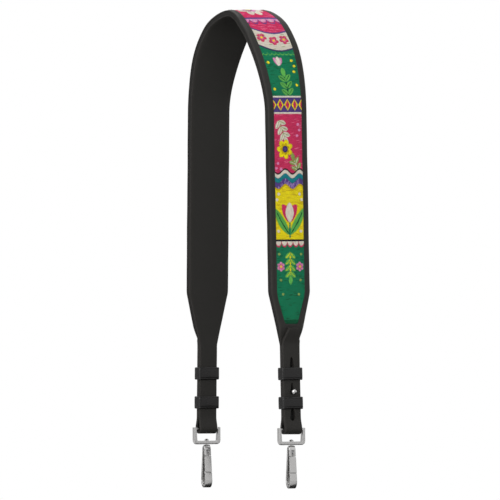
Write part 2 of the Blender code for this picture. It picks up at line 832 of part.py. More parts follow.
def hook_outline():
    """The open hook: up the outside of the nose's bow, over the crown, down to the ears and back round the eye."""
    outer, eye = HOOK.outer, HOOK.eye
    lean_out, lean_in = HOOK.lean(outer), HOOK.lean(eye)
    step, lip = nose_levels()
    ear = -PIN_DROP - EAR_DROP
    split = 1 - NOSE_LIP_SHARE
    lip_low = HOOK.side(eye, step) + split * (HOOK.side(outer, step) - HOOK.side(eye, step))
    lip_high = HOOK.side(eye, lip) + split * (HOOK.side(outer, lip) - HOOK.side(eye, lip))
    flat = math.asin(SEAT_FLAT / 2 / eye[1][0])
    outline = [(lip_high, lip), (HOOK.side(outer, lip), lip)]
    outline += HOOK.bow(outer, lean_out, -math.pi - lean_out, BOW_STEPS)
    outline += HOOK.crown(outer, math.pi - lean_out, lean_out, CROWN_STEPS)
    outline += [(HOOK.side(outer, ear), ear), (HOOK.side(eye, ear), ear)]
    outline += HOOK.crown(eye, lean_in, math.pi - lean_in, CROWN_STEPS)
    outline += HOOK.bow(eye, math.pi - lean_in, 3 * math.pi / 2 - flat, BOW_STEPS // 2)
    outline += HOOK.bow(eye, 3 * math.pi / 2 + flat, 2 * math.pi + lean_in, BOW_STEPS // 2)
    outline += [(HOOK.side(eye, step), step), (lip_low, step)]
    return outline


def gate_outline():
    """The closing bar between the ears and the nose, rebated to lie behind the nose's lip."""
    outer, eye = HOOK.outer, HOOK.eye
    step, lip = nose_levels()
    top = -PIN_DROP - EAR_DROP - GATE_GAP
    step, lip = step + GATE_GAP, lip + GATE_GAP
    split = 1 - NOSE_LIP_SHARE
    low = HOOK.side(eye, step) + split * (HOOK.side(outer, step) - HOOK.side(eye, step)) - GATE_GAP
    high = HOOK.side(eye, lip) + split * (HOOK.side(outer, lip) - HOOK.side(eye, lip)) - GATE_GAP
    return [
        (HOOK.side(eye, top), top),
        (HOOK.side(eye, step), step),
        (low, step),
        (high, lip),
        (HOOK.side(outer, lip), lip),
        (HOOK.side(outer, top), top),
    ]


def lug_outline():
    """The round lug on the pin, running down into the gate."""
    h, z = HOOK.pin, -PIN_DROP
    low = z - EAR_DROP - GATE_GAP - HOOK_BAR / 2
    reach = LUG_RADIUS
    half = min(HOOK_BAR / 2, reach) - HOOK_EDGE / 2
    lean = (HOOK.side(HOOK.outer, low) + HOOK.side(HOOK.eye, low)) / 2
    return arc((h, z), reach, 0, math.pi, CROWN_STEPS) + [(lean - half, low), (lean + half, low)]


def groove_outline():
    """The groove for the spring's leg, along the inner face of the gate."""
    top = -PIN_DROP - EAR_DROP + OVERRUN
    low = -PIN_DROP - SPRING_LEG - SPRING_RADIUS / 2
    inner = [(HOOK.side(HOOK.eye, z), z) for z in (top, low)]
    back = [(h - OVERRUN, z) for h, z in inner]
    return back + [(h + GROOVE_DEPTH, z) for h, z in reversed(inner)]


def make_hook_body(label, side):
    """The cast hook: a teardrop loop with a solid head, forked where the gate's lug turns."""
    origin = hook_top(side)
    turn = hook_turn()
    mesh = plate("hook_body", [hook_outline()], -HOOK_BOW_WIDTH / 2, HOOK_BOW_WIDTH / 2)
    narrow_with_height(mesh)
    node = add_node(f"{label}_hook_body", mesh, "nickel")
    place_like(node, origin, turn)
    add_bevel(node, HOOK_EDGE)
    roof = -PIN_DROP + LUG_RADIUS + GATE_GAP
    back = HOOK.pin - LUG_RADIUS - GATE_GAP
    fork_low = (back, -PIN_DROP - EAR_DROP - OVERRUN, -FORK_WIDTH / 2)
    fork_high = (HOOK_TOP_DEPTH, roof, FORK_WIDTH / 2)
    fork = add_cutter(f"{label}_fork", box_mesh("fork", fork_low, fork_high))
    pin_hole = cylinder_mesh("pin_hole", PIN_RADIUS + PIN_PLAY, -HOOK_BOW_WIDTH, HOOK_BOW_WIDTH, SMALL_ROUND_STEPS)
    pin_hole.transform(Matrix.Translation((HOOK.pin, -PIN_DROP, 0)))
    anchor = box_mesh(
        "spring_anchor",
        (HOOK.pin - SPRING_RADIUS - 2 * SPRING_WIRE, roof - OVERRUN / 2, -SPRING_ROOM / 2),
        (HOOK.pin - SPRING_RADIUS + 2 * SPRING_WIRE, -PIN_DROP + SPRING_ANCHOR + SPRING_WIRE, SPRING_ROOM / 2),
    )
    cutters = [fork, add_cutter(f"{label}_pin_hole", pin_hole), add_cutter(f"{label}_anchor", anchor)]
    for cutter in cutters:
        place_like(cutter, origin, turn)
    post_hole = cylinder_mesh("post_hole", POST_RADIUS + POST_PLAY, -POST_GRIP - POST_PLAY, OVERRUN)
    cutters.append(add_cutter(f"{label}_post_hole", post_hole))
    place_like(cutters[-1], origin)
    for cutter in cutters:
        combine(node, cutter, "DIFFERENCE")


def gate_origin(side):
    """The gate pin's middle, in the strap's frame."""
    yaw = math.radians(HOOK_YAW)
    along = Vector((math.cos(yaw), math.sin(yaw), 0)) * HOOK.pin
    return hook_top(side) + along - Vector((0, 0, PIN_DROP))


def shifted(mesh):
    """Moves a hook outline's mesh so that its origin is on the gate's pin."""
    mesh.transform(Matrix.Translation((-HOOK.pin, PIN_DROP, 0)))
    return mesh


def make_gate(label, side):
    """The gate with its lug on the pin. A slot parts the lug round the spring, and a groove takes the spring's leg."""
    origin, turn = gate_origin(side), hook_turn()
    bar = plate("gate", [gate_outline()], -HOOK_BOW_WIDTH / 2, HOOK_BOW_WIDTH / 2)
    narrow_with_height(bar)
    node = add_node(f"{label}_gate", shifted(bar), "nickel")
    place_like(node, origin, turn)
    add_bevel(node, GATE_EDGE)
    lug = shifted(plate("lug", [lug_outline()], -LUG_WIDTH / 2, LUG_WIDTH / 2))
    hole = cylinder_mesh("lug_hole", PIN_RADIUS + PIN_PLAY, -HOOK_BOW_WIDTH, HOOK_BOW_WIDTH, SMALL_ROUND_STEPS)
    slot_low = -EAR_DROP - GATE_GAP + SPRING_WIRE
    slot = box_mesh(
        "lug_slot",
        (-LUG_RADIUS - OVERRUN, slot_low, -SPRING_ROOM / 2),
        (LUG_RADIUS + OVERRUN, LUG_RADIUS + OVERRUN, SPRING_ROOM / 2),
    )
    groove = shifted(plate("leg_groove", [groove_outline()], -SPRING_ROOM / 2, SPRING_ROOM / 2))
    pieces = [("lug", lug, "UNION"), ("lug_hole", hole, "DIFFERENCE")]
    pieces += [("lug_slot", slot, "DIFFERENCE"), ("leg_groove", groove, "DIFFERENCE")]
    for name, mesh, operation in pieces:
        cutter = add_cutter(f"{label}_{name}", mesh)
        place_like(cutter, origin, turn)
        combine(node, cutter, operation)


def make_gate_pin(label, side):
    """The pin across the fork, just short of the hook's width there."""
    share = PIN_DROP / HOOK_HEIGHT
    width = HOOK_TOP_WIDTH + share * (HOOK_BOW_WIDTH - HOOK_TOP_WIDTH)
    reach = width / 2 - PIN_PLAY
    node = add_node(f"{label}_gate_pin", cylinder_mesh("gate_pin", PIN_RADIUS, -reach, reach, SMALL_ROUND_STEPS), "steel")
    place_like(node, gate_origin(side), hook_turn())


def make_gate_spring(label, side):
    """A torsion spring round the pin: one leg up in the head's slit, one down in the gate's groove."""
    width = SPRING_PITCH * SPRING_TURNS
    points = [(-SPRING_RADIUS, SPRING_ANCHOR, -width / 2)]
    for step in range(SPRING_TURNS * COIL_STEPS + 1):
        angle = math.pi + 2 * math.pi * step / COIL_STEPS
        across = width * (step / (SPRING_TURNS * COIL_STEPS) - 1 / 2)
        points.append((SPRING_RADIUS * math.cos(angle), SPRING_RADIUS * math.sin(angle), across))
    groove = HOOK.side(HOOK.eye, -PIN_DROP - SPRING_LEG) + GROOVE_DEPTH / 2 - HOOK.pin
    points.append((groove, -SPRING_LEG, width / 2))
    data = bpy.data.curves.new("gate_spring", "CURVE")
    data.dimensions = "3D"
    data.bevel_depth = SPRING_WIRE
    data.bevel_resolution = 1
    data.use_fill_caps = True
    spline = data.splines.new("POLY")
    spline.points.add(len(points) - 1)
    for point, place in zip(spline.points, points):
        point.co = (*place, 1)
    drawn = bpy.data.objects.new("gate_spring", data)
    CUTTERS.objects.link(drawn)
    mesh = mesh_of(drawn)
    bpy.data.objects.remove(drawn, do_unlink=True)
    node = add_node(f"{label}_gate_spring", mesh, "steel")
    place_like(node, gate_origin(side), hook_turn())


def make_end(label, side):
    """Everything at one end of the strap."""
    make_stud(label, side)
    make_stud_screw(label, side)
    make_keeper(f"{label}_upper_keeper", side, UPPER_KEEPER_RISE)
    make_keeper(f"{label}_lower_keeper", side, LOWER_KEEPER_RISE)
    make_ring(label, side)
    make_swivel_post(label, side)
    make_hook_body(label, side)
    make_gate(label, side)
    make_gate_pin(label, side)
    make_gate_spring(label, side)


make_lining()
make_core()
make_front_border()
make_embroidered_panel()
for end_label, end_side in SIDES.items():
    make_end(end_label, end_side)
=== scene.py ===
"""Looks of the detachable bag strap: grained leather, an embroidered panel and plated castings.

Every leather and textile piece is drawn flat, as (along, across, height) from the crest of the strap, is
finished there, and is then laid on the same path that the strap's solids follow.
"""

import json
import math

import bpy
import numpy as np
from mathutils import Matrix, Vector


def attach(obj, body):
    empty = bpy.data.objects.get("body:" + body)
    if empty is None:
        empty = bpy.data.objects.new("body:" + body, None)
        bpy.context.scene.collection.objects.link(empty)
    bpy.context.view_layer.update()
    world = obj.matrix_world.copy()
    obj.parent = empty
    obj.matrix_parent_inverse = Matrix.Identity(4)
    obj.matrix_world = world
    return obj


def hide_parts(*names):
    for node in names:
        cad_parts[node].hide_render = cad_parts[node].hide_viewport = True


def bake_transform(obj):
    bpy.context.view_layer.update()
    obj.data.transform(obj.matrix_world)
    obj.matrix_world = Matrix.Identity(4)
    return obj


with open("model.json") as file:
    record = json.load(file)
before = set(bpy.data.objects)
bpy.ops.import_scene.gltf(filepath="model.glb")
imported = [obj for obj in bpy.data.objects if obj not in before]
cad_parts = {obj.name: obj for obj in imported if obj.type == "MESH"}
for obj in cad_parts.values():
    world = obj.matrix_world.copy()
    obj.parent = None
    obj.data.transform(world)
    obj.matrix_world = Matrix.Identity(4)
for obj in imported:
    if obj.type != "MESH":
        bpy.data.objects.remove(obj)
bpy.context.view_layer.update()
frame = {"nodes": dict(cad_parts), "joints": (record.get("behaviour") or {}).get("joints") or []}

# Strap path, as in the strap's source
ARCH_HALF_SPAN = 0.0602
ARCH_HEIGHT = 0.101
ARCH_POWER = 1.8
LEG_SPLAY_SHARE = 0.021
BAND_DROP = 0.290
TAPER_LENGTH = 0.055
NECK_LENGTH = 0.0884
FLAP_LENGTH = 0.1068
FLARE_LENGTH = 0.013
STEP_LENGTH = 0.020
TWIST_SWING = 0.006
TWIST_START_SHARES = (0.0, 0.25)
TWIST_END_SHARES = (0.40, 1.0)

# Plies, as in the strap's source
LEATHER = 0.00125
GLUE = 0.0003
BAND_WIDTH = 0.051
STRAP_WIDTH = 0.022
SHOULDER_RADIUS = 0.020
WAIST_RADIUS = 0.014
FLAP_TIP_LENGTH = 0.0145
FLAP_TIP_WIDTH = 0.0108
TIP_RADIUS = 0.0015
CORE_THICKNESS = 0.0026
CORE_INSET = 0.0004
BORDER_WIDTH = 0.006
WINDOW_END_WIDTH = 0.0175
WINDOW_TO_WAIST = 0.022
WINDOW_RADIUS = 0.0015
CANVAS = 0.0010
CANVAS_HEM = 0.0020
KEYHOLE_PITCH = 0.0267
KEYHOLE_LENGTH = 0.011
KEYHOLES = [(-1, 0.0070, 0.0042), (0, 0.0050, 0.0019), (1, 0.0053, 0.0030)]  # row, hole and slit as worn
STUD_RISE = 0.0394
SCREW_SHANK = 0.0018
SCREW_HEAD = 0.0075
SCREW_POCKET = 0.00065
SCREW_PLAY = 0.0003
BAR_RADIUS = 0.0018
BAR_PLAY = 0.00035
KEEPER_HEIGHT = 0.0130
KEEPER_LEATHER = 0.0012
KEEPER_PLAY = 0.00035
KEEPER_FULLNESS = 0.0009
KEEPER_ROUND = 0.0012
UPPER_KEEPER_RISE = 0.0584
LOWER_KEEPER_RISE = 0.0279

# Looks, in metres
MM = 0.001
STATION = 0.0020
EDGE_ROUND = 0.00032
PADDING_ROUND = 1.6 * EDGE_ROUND
FRAME_LEAST_SHARE = 0.72
EDGE_EASE = 0.00050
EASE_WIDTH = 0.0048
WEAR_WIDTH = 0.0012
LINING_EASE_SHARE = 0.6
SWAY = 0.00010
SEAM = 0.00001
SPRING_REACH = 0.0014
TIP_LIFT = 0.0005
LIFT_LENGTH = 0.032
FIELD_SINK = 0.00055
FIELD_CROWN = 0.00035
FIELD_PLAY = 0.0004
STITCH_SET = 0.0017
STITCH_PITCH = 0.0030
STITCH_SINK = 0.0001
STITCH_SIZE = (0.86 * STITCH_PITCH, 0.00062, 0.00034)
STITCH_SLANT = 7
LINE_STEP = 0.0004
THREAD_WIDTH = 0.00058
THREAD_HEIGHT = 0.00026
SEED = 20
TINY = 1e-6

# Embroidery, in millimetres
THREAD_PITCH = 0.50
THREAD_OVERLAP = 1.12
THREAD_ENDS = 0.25
LAYER_RISE = 0.09
LOWEST_LAYER = -0.04
ROW_SPREAD = 0.22
RAY_SPREAD_SHARE = 0.16
SHADE_SPREAD = 0.07
TRIM_STEPS = 11
FIELD_REACH = 22
ROW_STAGGER_SHARE = 0.38

# Derived
TONGUE = 2 * LEATHER + GLUE
STACK = 2 * TONGUE + GLUE
CORE_RIM = CORE_THICKNESS + GLUE + CANVAS
BAND_STEP = CORE_RIM + GLUE
WAIST_DROP = BAND_DROP + TAPER_LENGTH
BAR_DROP = WAIST_DROP + NECK_LENGTH
FOLD_RADIUS = BAR_RADIUS + BAR_PLAY + TONGUE
WINDOW_END_DROP = WAIST_DROP - WINDOW_TO_WAIST
TILT = math.atan(LEG_SPLAY_SHARE)
SIDES = {"left": -1, "right": 1}
BEND_POINTS = 41
CORNER_STEPS = 8


def smooth(share):
    """Rises from 0 to 1 with level ends."""
    share = np.clip(share, 0.0, 1.0)
    return share * share * (3 - 2 * share)


def unit(vector):
    vector = np.array(vector, float)
    return vector / np.linalg.norm(vector)


# The strap's path


class StrapPath:
    """The strap's shoulder side in the XZ plane, crest to flap tip. Lengths are measured from the crest."""

    def __init__(self):
        self.down = unit((LEG_SPLAY_SHARE, -1))
        self.out = unit((1, LEG_SPLAY_SHARE))
        self.bar = self.leg(np.array([BAR_DROP]))[0] + self.out * (STACK / 2)
        spans = [self.arch(), self.tail(), *self.fold(), self.flap()]
        self.points = np.vstack([points for points, _ in spans])
        self.drops = np.concatenate([drops for _, drops in spans])
        steps = np.diff(self.points, axis=0)
        self.lengths = np.append(0, np.cumsum(np.linalg.norm(steps, axis=1)))
        self.total = self.lengths[-1]
        middle = self.points[2:] - self.points[:-2]
        around = np.vstack([(2 * steps[0][0], 0), middle, steps[-1:]])
        around /= np.linalg.norm(around, axis=1)[:, None]
        self.normals = np.stack((-around[:, 1], around[:, 0]), axis=1)
        self.arch_end = self.lengths[len(spans[0][0]) - 1]
        self.tail_count = sum(len(points) for points, _ in spans[:3])

    def leg(self, drop):
        return np.stack((ARCH_HALF_SPAN + LEG_SPLAY_SHARE * drop, -drop), axis=1)

    def band_rise(self, drop):
        """How far the outer ply stands above where it lies on the tongue."""
        return BAND_STEP * (1 - smooth((drop - (WAIST_DROP - STEP_LENGTH)) / STEP_LENGTH))

    def arch(self):
        power = 2 / ARCH_POWER
        angle = np.linspace(0, math.pi / 2, 240)
        drop = ARCH_HEIGHT * (1 - np.clip(np.cos(angle), 0, 1) ** power)
        x = ARCH_HALF_SPAN * np.sin(angle) ** power + LEG_SPLAY_SHARE * drop
        return np.stack((x, -drop), axis=1), drop

    def tail(self):
        drop = np.linspace(ARCH_HEIGHT, BAR_DROP - FLARE_LENGTH, 321)[1:]
        return self.leg(drop), drop

    def fold(self):
        """Down beside the bar, round it and up beside it again."""
        along = np.linspace(-FLARE_LENGTH, 0, 25)[1:-1]
        part = (FOLD_RADIUS - STACK / 2) * smooth(1 + along / FLARE_LENGTH)
        sides = []
        for side in (-1, 1):
            away = side * (STACK / 2 + part)
            points = self.bar + along[:, None] * self.down + away[:, None] * self.out
            sides.append((points, BAR_DROP + along))
        angle = np.linspace(0, math.pi, BEND_POINTS)
        turn = np.sin(angle)[:, None] * self.down - np.cos(angle)[:, None] * self.out
        bend = (self.bar + turn * FOLD_RADIUS, np.full(len(angle), BAR_DROP))
        up = (sides[1][0][::-1], sides[1][1][::-1])
        return sides[0], bend, up

    def flap(self):
        """Up the outside of the leg, a tongue and a glue line above the outer ply, over the band's step."""
        drop = np.linspace(BAR_DROP - FLARE_LENGTH, BAR_DROP - FLAP_LENGTH, 110)
        near = STEP_LENGTH / 100
        slope = (self.band_rise(drop - near) - self.band_rise(drop + near)) / (2 * near)
        normal = self.out + slope[:, None] * self.down
        normal /= np.linalg.norm(normal, axis=1)[:, None]
        top = self.leg(drop) + (TONGUE + self.band_rise(drop))[:, None] * self.out
        return top + normal * (TONGUE + GLUE), drop

    def on_tail(self, drop):
        return float(np.interp(drop, self.drops[: self.tail_count], self.lengths[: self.tail_count]))

    def on_flap(self, drop):
        flap = slice(self.tail_count + BEND_POINTS, None)
        return float(np.interp(-drop, -self.drops[flap], self.lengths[flap]))

    def padding_end(self):
        """Where the padding has run out to a thin edge, at the foot of the band's step."""
        drops = np.linspace(WAIST_DROP - STEP_LENGTH, WAIST_DROP, 200)
        return self.on_tail(float(drops[self.band_rise(drops) > GLUE / 2][-1]))

    def rise(self, far):
        """The outer ply's rise at a length along the path: none past the waist."""
        drop = np.interp(far, self.lengths[: self.tail_count], self.drops[: self.tail_count])
        return np.where(far < self.on_tail(WAIST_DROP), self.band_rise(drop), 0.0)

    def twist(self, far):
        """How far the band's near edge swings back, and its far edge on, per metre across the strap."""
        share = far / self.arch_end
        start, full = TWIST_START_SHARES
        fade, end = TWIST_END_SHARES
        turned = smooth((share - start) / (full - start)) * (1 - smooth((share - fade) / (end - fade)))
        return turned * TWIST_SWING / (BAND_WIDTH / 2)

    def sway(self, far, across):
        """The slow unevenness of worn leather, alike in all the plies."""
        slow = np.sin(far * 61 + across * 40) + 0.6 * np.sin(far * 143 - across * 90 + 1.3)
        return SWAY * slow * smooth(far / 0.05)

    def place(self, flat):
        """Lays flat points (along, across, height) on the path."""
        along, across, height = np.asarray(flat, float).T
        far = np.abs(along)
        lift = TIP_LIFT * smooth(1 - (self.total - far) / LIFT_LENGTH) ** 2
        height = height + self.sway(far, across) - lift
        x, z = (np.interp(far, self.lengths, self.points[:, k]) for k in (0, 1))
        out_x, out_z = (np.interp(far, self.lengths, self.normals[:, k]) for k in (0, 1))
        x = np.where(along < 0, -1, 1) * (x + out_x * height) + self.twist(far) * across
        return np.stack((x, across, z + out_z * height), axis=1)


PATH = StrapPath()
WAIST = PATH.on_tail(WAIST_DROP)
BAND_END = PATH.on_tail(BAND_DROP)
WINDOW_END = PATH.on_tail(WINDOW_END_DROP)
STUD_ALONG = PATH.on_tail(BAR_DROP - STUD_RISE)
FLAP_START = PATH.on_flap(BAR_DROP - FLARE_LENGTH)
PADDING_END = PATH.padding_end()


# Shader building


class Value:
    """A number or colour that changes over a surface. Expressions on it add the nodes that work them out."""

    def __init__(self, finish, socket):
        self.finish = finish
        self.socket = socket

    def math(self, operation, first, second):
        return self.finish.node("ShaderNodeMath", {"operation": operation}, {0: first, 1: second})

    def __add__(self, other):
        return self.math("ADD", self, other)

    def __radd__(self, other):
        return self.math("ADD", other, self)

    def __sub__(self, other):
        return self.math("SUBTRACT", self, other)

    def __rsub__(self, other):
        return self.math("SUBTRACT", other, self)

    def __mul__(self, other):
        return self.math("MULTIPLY", self, other)

    def __rmul__(self, other):
        return self.math("MULTIPLY", other, self)


class Finish:
    """A material built from nodes. What varies goes to its shader's sockets at the end."""

    def __init__(self, name, fixed):
        self.material = bpy.data.materials.new(name)
        self.material.use_nodes = True
        self.tree = self.material.node_tree
        self.shader = self.tree.nodes["Principled BSDF"]
        for socket, value in fixed.items():
            self.shader.inputs[socket].default_value = value
        self.place = self.node("ShaderNodeTexCoord", out="Object")

    def node(self, kind, settings=None, sockets=None, out=0):
        """Adds a node, sets it, fills its sockets with values or links, and returns one of its outputs."""
        made = self.tree.nodes.new(kind)
        for setting, value in (settings or {}).items():
            if setting == "stops":
                self.set_stops(made.color_ramp, value)
            else:
                setattr(made, setting, value)
        for socket, value in (sockets or {}).items():
            if isinstance(value, Value):
                self.tree.links.new(value.socket, made.inputs[socket])
            else:
                made.inputs[socket].default_value = value
        return Value(self, made.outputs[out])

    def set_stops(self, ramp, stops):
        while len(ramp.elements) < len(stops):
            ramp.elements.new(0.5)
        for element, (position, shade) in zip(ramp.elements, stops):
            element.position = position
            element.color = (shade, shade, shade, 1)

    def noise(self, scale, detail=3.0, roughness=0.55, distortion=0.0, at=None):
        sockets = {"Vector": at or self.place, "Scale": scale, "Detail": detail}
        sockets |= {"Roughness": roughness, "Distortion": distortion}
        return self.node("ShaderNodeTexNoise", {}, sockets)

    def cells(self, scale, feature="F1", smoothness=1.0):
        settings = {"feature": feature}
        sockets = {"Vector": self.place, "Scale": scale}
        if feature == "SMOOTH_F1":
            sockets["Smoothness"] = smoothness
        return self.node("ShaderNodeTexVoronoi", settings, sockets, "Distance")

    def ramp(self, value, stops):
        return self.node("ShaderNodeValToRGB", {"stops": stops}, {0: value}, "Color")

    def mix(self, share, first, second, blend="MIX"):
        settings = {"data_type": "RGBA", "blend_type": blend, "clamp_factor": True}
        return self.node("ShaderNodeMix", settings, {0: share, 6: first, 7: second}, 2)

    def stretched(self, at, scale):
        return self.node("ShaderNodeMapping", {}, {"Vector": at, "Scale": scale})

    def map_of(self, name):
        return self.node("ShaderNodeUVMap", {"uv_map": name})

    def attribute(self, name, out="Fac"):
        return self.node("ShaderNodeAttribute", {"attribute_name": name}, out=out)

    def bump(self, height, strength, distance):
        sockets = {"Height": height, "Strength": strength, "Distance": distance}
        return self.node("ShaderNodeBump", {}, sockets)

    def feed(self, **varying):
        """Links what varies to the shader, with sockets named in lower case and underscores."""
        for name, value in varying.items():
            self.tree.links.new(value.socket, self.shader.inputs[name.replace("_", " ").title()])
        return self.material


def linear(red, green, blue):
    """A colour picked on screen, from 0 to 255, as the shader reads it."""
    channels = np.array((red, green, blue)) / 255
    low = channels / 12.92
    high = ((channels + 0.055) / 1.055) ** 2.4
    return (*[float(v) for v in np.where(channels < 0.04045, low, high)], 1.0)


def toned(shade, share):
    """A screen colour, darker or lighter by a share."""
    return linear(*[channel * share for channel in shade])


def leather_finish(name, shade, worn_shade, roughness, grain=1.0, glaze=0.0):
    """Pigmented leather: pebbled grain with pores, slow tone changes and rubbed edges. Under the flap it is
    painted near black, a painted shade.
    """
    finish = Finish(name, {"Specular IOR Level": 0.2, "Coat Weight": glaze, "Coat Roughness": 0.24})
    slow = finish.noise(28, 3)
    pebbles = finish.cells(1250, "SMOOTH_F1", 0.7)
    pores = finish.noise(2600, 2)
    creases = finish.noise(420, 4, 0.6, 0.8)
    wear = finish.attribute("wear")
    rub = wear * finish.ramp(finish.noise(170, 4), [(0.35, 0.25), (0.75, 1.0)])
    base = finish.mix(slow * 0.55, linear(*shade), toned(shade, 1.22))
    base = finish.mix(finish.ramp(pebbles, [(0.1, 0.0), (0.8, 0.3)]), base, toned(shade, 0.72))
    base = finish.mix(rub, base, linear(*worn_shade))
    # Painted shade: where the mask is set, under the flap and seen through the keyholes, the face is drawn
    # near black
    base = finish.mix(finish.attribute("covered") * 0.85, base, linear(8, 8, 8))
    dull = roughness + (slow - 0.5) * 0.22 + (pores - 0.5) * 0.16 - rub * 0.08
    height = (1 - pebbles) * 0.7 + pores * 0.25 + creases * 0.6
    normal = finish.bump(height, 0.42 * grain, 0.00012)
    return finish.feed(base_color=base, roughness=dull, normal=normal)


def edge_finish(name, shade):
    """The painted and burnished edge of a ply: fibres still show along it."""
    finish = Finish(name, {"Specular IOR Level": 0.16})
    along = finish.map_of("flat")
    fibres = finish.noise(900, 4, at=finish.stretched(along, (0.12, 1, 1)))
    patches = finish.noise(120, 3)
    base = finish.mix(fibres, toned(shade, 0.85), toned(shade, 1.15))
    base = finish.mix(patches * 0.35, base, toned(shade, 0.7))
    dull = 0.52 + (patches - 0.5) * 0.25
    normal = finish.bump(fibres + patches, 0.35, 0.00010)
    return finish.feed(base_color=base, roughness=dull, normal=normal)


def thread_finish(name):
    """Stranded cotton: the attribute's colour, changing a little along and between stitches."""
    finish = Finish(name, {"Specular IOR Level": 0.10, "Sheen Weight": 0.03, "Sheen Roughness": 0.4})
    strand = finish.map_of("strand")
    twist = finish.node(
        "ShaderNodeTexWave",
        {"wave_type": "BANDS", "bands_direction": "DIAGONAL"},
        {"Vector": finish.stretched(strand, (7, 2, 1)), "Scale": 1.0, "Distortion": 0.6},
    )
    uneven = finish.noise(900, 2)
    faded = finish.noise(45, 3)
    colour = finish.attribute("thread", "Color")
    base = finish.mix(twist * 0.16, colour, (0.0, 0.0, 0.0, 1.0))
    base = finish.mix(uneven * 0.16, base, (1.0, 1.0, 1.0, 1.0), "SOFT_LIGHT")
    base = finish.mix(faded * 0.012, base, (0.75, 0.7, 0.66, 1.0))
    dull = 0.62 + (uneven - 0.5) * 0.3
    normal = finish.bump(twist + uneven * 0.5, 0.5, 0.00006)
    return finish.feed(base_color=base, roughness=dull, normal=normal)


def canvas_finish(name):
    """The ground of the embroidery: a plain weave in the colour of the stitches over it."""
    finish = Finish(name, {"Specular IOR Level": 0.2, "Sheen Weight": 0.15})
    sockets = {"Vector": finish.map_of("flat"), "Scale": 700.0}
    warp = finish.node("ShaderNodeTexWave", {"wave_type": "BANDS", "bands_direction": "X"}, sockets)
    weft = finish.node("ShaderNodeTexWave", {"wave_type": "BANDS", "bands_direction": "Y"}, sockets)
    cloth = warp * weft
    colour = finish.attribute("thread", "Color")
    base = finish.mix(0.45 + cloth * 0.2, colour, (0.02, 0.015, 0.02, 1.0))
    dull = 0.85 - cloth * 0.1
    return finish.feed(base_color=base, roughness=dull, normal=finish.bump(cloth, 0.5, 0.0001))


def padding_finish(name, shade):
    """Dense fibrous padding that shows as a dull line between the plies."""
    finish = Finish(name, {"Specular IOR Level": 0.2})
    fibres = finish.noise(1600, 5, 0.7)
    clumps = finish.cells(500)
    base = finish.mix(fibres, toned(shade, 0.75), toned(shade, 1.2))
    dull = 0.8 + (clumps - 0.4) * 0.2
    normal = finish.bump(fibres + clumps, 0.5, 0.00015)
    return finish.feed(base_color=base, roughness=dull, normal=normal)


def plated_finish(name, shade, roughness, brushed):
    """Nickel plate over a casting: faint waves, fine rubbing marks and a slightly duller skin in places."""
    finish = Finish(name, {"Specular IOR Level": 0.5})
    waves = finish.noise(110, 2)
    marks = finish.noise(1500, 3, at=finish.stretched(finish.place, brushed))
    spots = finish.ramp(finish.noise(520, 4), [(0.62, 0.0), (0.76, 1.0)])
    base = finish.mix(waves * 0.5, linear(*shade), toned(shade, 0.94))
    base = finish.mix(spots * 0.18, base, toned(shade, 0.75))
    dull = roughness + (marks - 0.5) * 0.10 + spots * 0.08 + (waves - 0.5) * 0.05
    normal = finish.bump(waves + marks * 0.04, 0.06, 0.00020)
    metal = finish.ramp(spots, [(0.0, 1.0), (1.0, 0.97)])
    return finish.feed(base_color=base, roughness=dull, metallic=metal, normal=normal)


FINISHES = {
    "outer_leather": leather_finish("outer_leather", (37, 36, 34), (54, 52, 49), 0.48),
    "lining_leather": leather_finish("lining_leather", (36, 35, 33), (44, 42, 40), 0.56, 0.8),
    "loop_leather": leather_finish("loop_leather", (19, 18, 18), (16, 15, 15), 0.36, 0.5, 0.30),
    "painted_edge": edge_finish("painted_edge", (48, 46, 44)),
    "padding_edge": padding_finish("padding_edge", (38, 37, 36)),
    "cotton_thread": thread_finish("cotton_thread"),
    "canvas_ground": canvas_finish("canvas_ground"),
    "nickel_plate": plated_finish("nickel_plate", (196, 195, 194), 0.20, (1, 1, 0.12)),
    "satin_nickel": plated_finish("satin_nickel", (205, 204, 203), 0.27, (1, 1, 0.12)),
    "spring_steel": plated_finish("spring_steel", (168, 168, 170), 0.32, (0.2, 1, 1)),
}


# Mesh tools


def add_object(name, mesh):
    made = bpy.data.objects.new(name, mesh)
    bpy.context.scene.collection.objects.link(made)
    return made


def evaluated_mesh(obj):
    bpy.context.view_layer.update()
    return bpy.data.meshes.new_from_object(obj.evaluated_get(bpy.context.evaluated_depsgraph_get()))


def settle(obj):
    """Applies an object's modifiers to its mesh."""
    mesh = evaluated_mesh(obj)
    obj.modifiers.clear()
    obj.data = mesh
    return obj


def add_bevel(obj, width, segments, angle=55):
    bevel = obj.modifiers.new("edges", "BEVEL")
    bevel.width = width
    bevel.segments = segments
    bevel.limit_method = "ANGLE"
    bevel.angle_limit = math.radians(angle)
    bevel.use_clamp_overlap = False


def soften(mesh, angle=40):
    mesh.shade_smooth()
    mesh.set_sharp_from_angle(angle=math.radians(angle))


def coordinates(mesh):
    flat = np.zeros(len(mesh.vertices) * 3, np.float32)
    mesh.vertices.foreach_get("co", flat)
    return flat.reshape(-1, 3).astype(float)


def set_coordinates(mesh, points):
    mesh.vertices.foreach_set("co", np.asarray(points, np.float32).ravel())
    mesh.update()


def add_attribute(mesh, name, kind, values):
    attribute = mesh.attributes.new(name, kind, "POINT")
    key = {"FLOAT": "value", "FLOAT_VECTOR": "vector", "FLOAT_COLOR": "color"}[kind]
    attribute.data.foreach_set(key, np.asarray(values, np.float32).ravel())


def cut(obj, cutters):
    """Cuts holes and pockets and removes their cutters."""
    for cutter in cutters:
        boolean = obj.modifiers.new(cutter.name, "BOOLEAN")
        boolean.operation = "DIFFERENCE"
        boolean.object = cutter
        boolean.solver = "EXACT"
    settle(obj)
    for cutter in cutters:
        bpy.data.objects.remove(cutter, do_unlink=True)


